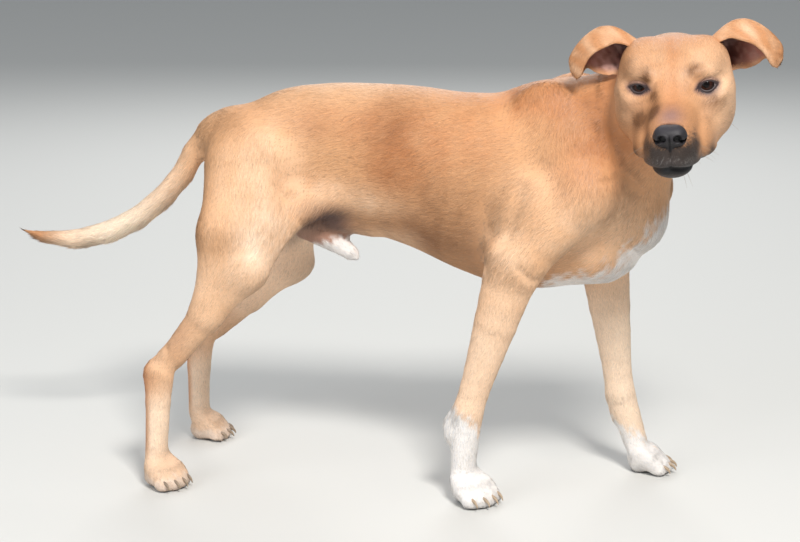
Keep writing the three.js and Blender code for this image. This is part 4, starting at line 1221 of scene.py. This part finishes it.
WHISKERS = [  # root on the muzzle or brow, way out, length
    ((70, 21, -44), (0.35, 1, -0.3), 27), ((64, 24, -46), (0.3, 1, -0.35), 30),
    ((58, 26, -49), (0.2, 1, -0.45), 28), ((70, 20, -50), (0.35, 1, -0.5), 24),
    ((62, 24, -54), (0.25, 1, -0.6), 26), ((54, 27, -55), (0.1, 1, -0.6), 24),
    ((74, 17, -54), (0.5, 0.9, -0.6), 20), ((78, 12, -56), (0.8, 0.5, -0.6), 17),
    ((66, 12, -84), (0.5, 0.3, -1), 14), ((56, 16, -86), (0.3, 0.4, -1), 15),
    ((4, 27, 19), (0.7, 0.15, 0.9), 18), ((0, 31, 20), (0.6, 0.35, 0.9), 15),
    ((-6, 58, -44), (0.3, 1, -0.7), 18)]


def whiskers():
    """Stiff hairs that bend down and back, on both sides of the muzzle, brows and cheeks."""
    shapes = []
    for at, way, long in WHISKERS:
        for s in (RIGHT, LEFT):
            start = np.array(at, float) * (1, s, 1)
            ahead = unit(np.array(way, float) * (1, s, 1))
            path = bend(start - ahead * 4, start + ahead * long * 0.6,
                        start + ahead * long + np.array((-0.22, 0, -0.16)) * long, 9)
            shapes.append(tapered(from_head(path), np.linspace(0.17, 0.04, 9), 4))
    obj = gathered("whiskers", shapes)
    put_tint(obj.data, plain(BRISTLE, len(obj.data.vertices)))
    return obj


# ---------------------------------------------------------------- the whole dog
def bare_share(p, q, near, inner):
    """Share of skin with no hair: lids, lips, nose, ear's inside, groin, sheath's tip and soles."""
    lip, head = lip_height(q), near["head"]
    lips = at_mouth(q) * head * step(1.6, 0.2, lip) * step(-12.0, -9.0, lip)
    lids = step(2.0, 0.8, eye_gap(q)) * head
    nose = step(1.2, 0.4, NOSE(q)) * head
    groin = groin_share(p) * (1 - near["sheath"])
    tip = near["sheath"] * step(-62, -56, p[:, 0])
    return np.maximum.reduce([lips, lids, nose, inner, 0.8 * groin, tip, step(3, 1.5, p[:, 2])])


TUFTS = dict(trunk=0.405, leg=0.54, foot=0.95, tail=0.62, head=1.15, muzzle=1.9)  # per square mm


def thickness_of_coat(p, q, near, bare):
    """Tufts to each square mm: most on the muzzle and paws, fewest on the trunk."""
    legs = legs_share(near)
    d = mix(TUFTS["trunk"], TUFTS["leg"], legs * step(330, 260, p[:, 2]))
    d = mix(d, TUFTS["foot"], legs * step(70, 30, p[:, 2]))
    d = mix(d, TUFTS["tail"], near["tail"])
    d = mix(d, TUFTS["head"], near["head"] * step(-110, -60, q[:, 0]))
    d = mix(d, TUFTS["muzzle"], near["head"] * step(10, 40, q[:, 0]))
    return d * (1 - bare)


def dog_tint(p, q, near):
    """The coat's colour at every point, with the white marks and the face."""
    c = body_tint(p, near)
    face = (near["head"] * step(-150, -100, q[:, 0]))[:, None]
    c = mix(c, head_tint(q, c), face)
    return toned(c, WHITE, white_marks(p, near))


def with_ears(net):
    """Points and faces of the net and both ears' sheets, the number of the net's own points, the
    ways of the ears' hair, and the shares of being inside an ear and on its lower rim.

    A sheet is the ear's inner grid and then its outer one, turned round, so that each row rings
    it. Its hair follows the rows from root to tip."""
    points = [points_of(net)]
    faces = [tuple(f.vertices) for f in net.polygons]
    first = len(points[0])
    ways, inner, rim = [], [np.zeros(first)], [np.zeros(first)]
    for s, _ in SIDES:
        inside, outside = ear_grid(s)
        rows = np.concatenate([inside, outside[:, ::-1]], 1)
        shape, quads = closed_rows(rows)
        if s == LEFT:
            quads = [f[::-1] for f in quads]
        base = sum(len(x) for x in points)
        faces += [tuple(i + base for i in f) for f in quads]
        points.append(from_head(shape))
        along = np.gradient(rows, axis=0).reshape(-1, 3)
        ways.append(np.concatenate([along, along[-2:]]) @ HEAD_TURN.T)
        j, over = np.arange(rows.shape[1]), inside.shape[1]
        within = np.where(j < over, step(0, 2.5, j) * step(over - 1, over - 3.5, j), 0)
        lower_edge = step(2 * over - 4, 2 * over - 2, j)
        for kept, share in ((inner, within), (rim, lower_edge)):
            kept.append(np.append(np.tile(share, len(rows)), (0, 0)))
    return (np.concatenate(points), faces, first,
            *(np.concatenate(part) for part in (ways, inner, rim)))


def make_dog():
    """The skin with its colours, and the coat that grows on it."""
    rng = np.random.default_rng(7)
    p, faces, first, ear_ways, inner, rim = with_ears(make_skin())
    skin = mesh_object("skin", p, faces)
    mesh = skin.data
    unwrap(skin)
    n, q = normals_of(mesh), to_head(p)
    near = nearness(p, n)
    near["ear"] = (np.arange(len(p)) >= first) * 1.0
    for g in GROUPS:
        near[g][first:] = g == "head"
    way = lie(p, n)
    way[first:] = ear_ways
    way = smoothed(flattened(way, n), edges_of(mesh), 0.6, 4)
    bare = bare_share(p, q, near, inner)
    put_tint(mesh, skin_tint(p, q, near, inner))
    put_tint(mesh, bare, "bare")
    pelt = surface("pelt", (0.55, 0.8), 0.1, 0.00012, 520, (0.25, 1, 1), bare=0.5,
                   Specular_IOR_Level=0.4)
    shown(skin, pelt, "fawn_coat", *FLESH)
    tri, loops = triangles_of(mesh)
    density = thickness_of_coat(p, q, near, bare)
    density *= (1 - inner) * (1 - rim)
    face, share = roots_on(p, tri, density, rng)

    def at_root(values, corners=tri[face]):
        return (values[corners] * share[..., None]).sum(1)

    root, normal = at_root(p), unit(at_root(n))
    flow = flattened(at_root(way), normal)
    groups = GROUPS + ("ear",)
    spread = at_root(np.stack([near[g] for g in groups], 1))
    here = dict(zip(groups, spread.T), normal=normal)
    head_root = to_head(root)
    long, wide = hair_size(root, normal, here)
    long = mix(long, HAIR["ear"], here["ear"])
    colour = mix(dog_tint(root, head_root, here), ear_tint(head_root), here["ear"][:, None])
    where = at_root(column(mesh.uv_layers["OFBake"].data, "uv", 2), loops[face])
    fur = surface("fur", (0.42, 0.62), 0.1, 0.0002, 700, patches=20, Specular_IOR_Level=0.5)
    for name, mask in regions(root, here):
        chosen = (v[mask] for v in (root, normal, flow, long, wide, colour, where))
        obj = bpy.data.objects.new(name, tuft_mesh(name, *chosen, rng))
        bpy.context.scene.collection.objects.link(obj)
        shown(obj, fur, "fawn_coat")


MUZZLE_FROM = 8  # x in the head's frame where the muzzle's coat begins


def regions(p, near):
    """Names of the coat's pieces, and which roots belong to each."""
    ear = near["ear"] > 0.5
    best = np.where(ear, -1, np.stack([near[g] for g in GROUPS], 1).argmax(1))
    head, neck, trunk, tail, fore, hind, sheath = (best == i for i in range(len(GROUPS)))
    x, y, _ = to_head(p).T
    skull, right = head & (x <= MUZZLE_FROM), p[:, 1] < 0
    yield "coat_ears", ear
    yield "coat_muzzle", head & (x > MUZZLE_FROM)
    yield "coat_head_right", skull & (y < 0)
    yield "coat_head_left", skull & (y >= 0)
    yield "coat_neck", neck
    yield "coat_trunk_right", (trunk | sheath) & right
    yield "coat_trunk_left", (trunk | sheath) & ~right
    yield "coat_tail", tail
    for name, leg in (("coat_fore_", fore), ("coat_hind_", hind)):
        yield name + "right", leg & right
        yield name + "left", leg & ~right


def groin_share(p):
    """The bare skin where the belly meets the thighs."""
    x, y, z = p.T
    return (step(-30, -80, x) * step(-190, -160, x) * step(372, 340, z) * step(62, 40, np.abs(y))
            * step(250, 290, z))


def ear_tint(q):
    """Red fawn with paler patches, and darker tips."""
    c = np.tile(mix(RED, FAWN, 0.45), (len(q), 1))
    c = toned(c, PALE, 0.25 * (1 + wobble(q, 18, 31)))
    return toned(c, SABLE, 0.35 * step(100, 118, np.abs(q[:, 1])) * (1 + 0.5 * wobble(q, 6, 32)))


def skin_tint(p, q, near, inner):
    """The skin's colours: the coat's, with dark lids, lips, nose and soles, and pink inner ears
    that darken towards the root, partly as painted shade.
    """
    c = mix(dog_tint(p, q, near), ear_tint(q), near["ear"][:, None])
    fold = spot(q, (-66, -82, 8), (34, 17, 17)) * np.clip(0.75 + 0.6 * wobble(q, 9, 34), 0, 1)
    within = layered(plain(EAR_PINK, len(p)), [
        # darker towards the ear's root: its own dark skin and painted shade in the hollow
        (EAR_DEEP_SKIN_AND_SHADE, step(92, 64, np.abs(q[:, 1])) * 0.9),
        (ROSE, 0.6 * np.clip(wobble(q, 12, 33), 0, 1)), (EAR_FOLD, 0.9 * fold)])
    lids = near["head"] * step(3.4, 0.6, eye_gap(q)) * (1 - inner)
    lip = lip_height(q)
    mouth = at_mouth(q) * near["head"] * (1 - near["ear"])
    return layered(mix(c, within, inner[:, None]), [
        (LID_EDGE, lids * 0.95), (BLACK, step(0.8, -0.4, NOSE(q)) * near["head"]),
        (LIP, mouth * step(2.2, 0.6, lip) * step(-12.5, -9.5, lip)),
        (SOLE, step(4, 2, p[:, 2]) * (1 - near["head"]))])


def unwrap(obj):
    """A map of the skin's own shape, named OFBake."""
    obj.data.uv_layers.new(name="OFBake")
    bpy.context.view_layer.objects.active = obj
    obj.select_set(True)
    bpy.ops.object.mode_set(mode="EDIT")
    bpy.ops.mesh.select_all(action="SELECT")
    bpy.ops.uv.smart_project(angle_limit=math.radians(66), island_margin=0.001)
    bpy.ops.object.mode_set(mode="OBJECT")
    obj.select_set(False)


make_dog()
eye = surface("eye", (0.03, 0.07), 0.08, 0.00002, 900, Coat_Weight=0.15, Coat_Roughness=0.02,
              Specular_IOR_Level=0.1)
for s, name in SIDES:
    ball = eyeball(s)
    ball.name = "eyeball_" + name
    shown(ball, eye, "eyes", "eye_" + name)
leather = surface("leather", (0.42, 0.6), 0.2, 0.00035, 1500, Coat_Weight=0.12,
                  Coat_Roughness=0.35, Specular_IOR_Level=0.3)
shown(nose_leather(), leather, "nose_leather", "nose")
horn = surface("horn", (0.3, 0.45), 0.2, 0.0001, 900, (1, 1, 3))
shown(claws(), horn, "claws", *[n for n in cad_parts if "claw" in n])
bristle = surface("bristle", (0.35, 0.5), 0.2, 0.00005, 900)
shown(whiskers(), bristle, "fawn_coat")


# ---------------------------------------------------------------- stage
CAMERA_AT = (0.589462, -2.20885, 0.80343)  # metres
CAMERA_LOOK = (14, 13)  # degrees round from +Y and down
CAMERA_LENS, CAMERA_SENSOR, CAMERA_REACH = 85, 36, 100  # mm, mm and metres
FLOOR_REACH = 3e4  # mm from the middle of the floor to each side
FLOOR_COLOUR, FLOOR_ROUGHNESS = (0.62, 0.62, 0.60, 1), 0.9
SURROUND_COLOUR, SURROUND_POWER = (0.9, 0.95, 1, 1), 0.4
LIGHTS = [  # name, place, target, size (metres), power (watts), colour
    ("key", (1.35, -2.3, 3.05), (0.0, 0, 0.35), 0.8, 158, (1.0, 0.97, 0.93)),
    ("fill", (-2.2, -2.8, 1.7), (0.0, 0, 0.3), 2.4, 52, (0.93, 0.96, 1.0)),
    ("back", (-0.6, 2.8, 2.4), (0.0, 0, 0.4), 2.0, 50, (1, 1, 1))]


def look_matrix(azimuth, pitch):
    """Axes of a camera that looks along +Y turned by azimuth, and down by pitch degrees."""
    a, e = math.radians(azimuth), math.radians(pitch)
    ahead = Vector((-math.sin(a) * math.cos(e), math.cos(a) * math.cos(e), -math.sin(e)))
    right = Vector((math.cos(a), math.sin(a), 0))
    up = right.cross(ahead)
    return Matrix((right, up, -ahead)).transposed()


def add_camera():
    """The camera, level from side to side."""
    data = bpy.data.cameras.new("camera")
    data.lens, data.sensor_width, data.clip_end = CAMERA_LENS, CAMERA_SENSOR, CAMERA_REACH
    camera = bpy.data.objects.new("camera", data)
    camera.matrix_world = Matrix.Translation(CAMERA_AT) @ look_matrix(*CAMERA_LOOK).to_4x4()
    bpy.context.scene.collection.objects.link(camera)
    bpy.context.scene.camera = camera


def add_light(name, at, target, size, power, colour):
    """A square soft light at one place, facing another."""
    data = bpy.data.lights.new(name, "AREA")
    data.size, data.energy, data.color = size, power, colour
    light = bpy.data.objects.new(name, data)
    aim = Vector(target) - Vector(at)
    light.matrix_world = Matrix.Translation(at) @ aim.to_track_quat("-Z", "Y").to_matrix().to_4x4()
    bpy.context.scene.collection.objects.link(light)


def add_stage():
    """A plain pale floor, soft lights and a pale surround."""
    r = FLOOR_REACH
    floor = mesh_object("floor", [(-r, -r, 0), (r, -r, 0), (r, r, 0), (-r, r, 0)], [(0, 1, 2, 3)],
                        smooth=False)
    matt = bpy.data.materials.new("pale_floor")
    matt.use_nodes = True
    shader = matt.node_tree.nodes["Principled BSDF"]
    shader.inputs["Base Color"].default_value = FLOOR_COLOUR
    shader.inputs["Roughness"].default_value = FLOOR_ROUGHNESS
    floor.data.materials.append(matt)
    for light in LIGHTS:
        add_light(*light)
    world = bpy.data.worlds.new("studio")
    world.use_nodes = True
    surround = world.node_tree.nodes["Background"]
    surround.inputs["Color"].default_value = SURROUND_COLOUR
    surround.inputs["Strength"].default_value = SURROUND_POWER
    bpy.context.scene.world = world
    bpy.context.scene.view_settings.view_transform = "Standard"


add_camera()
add_stage()
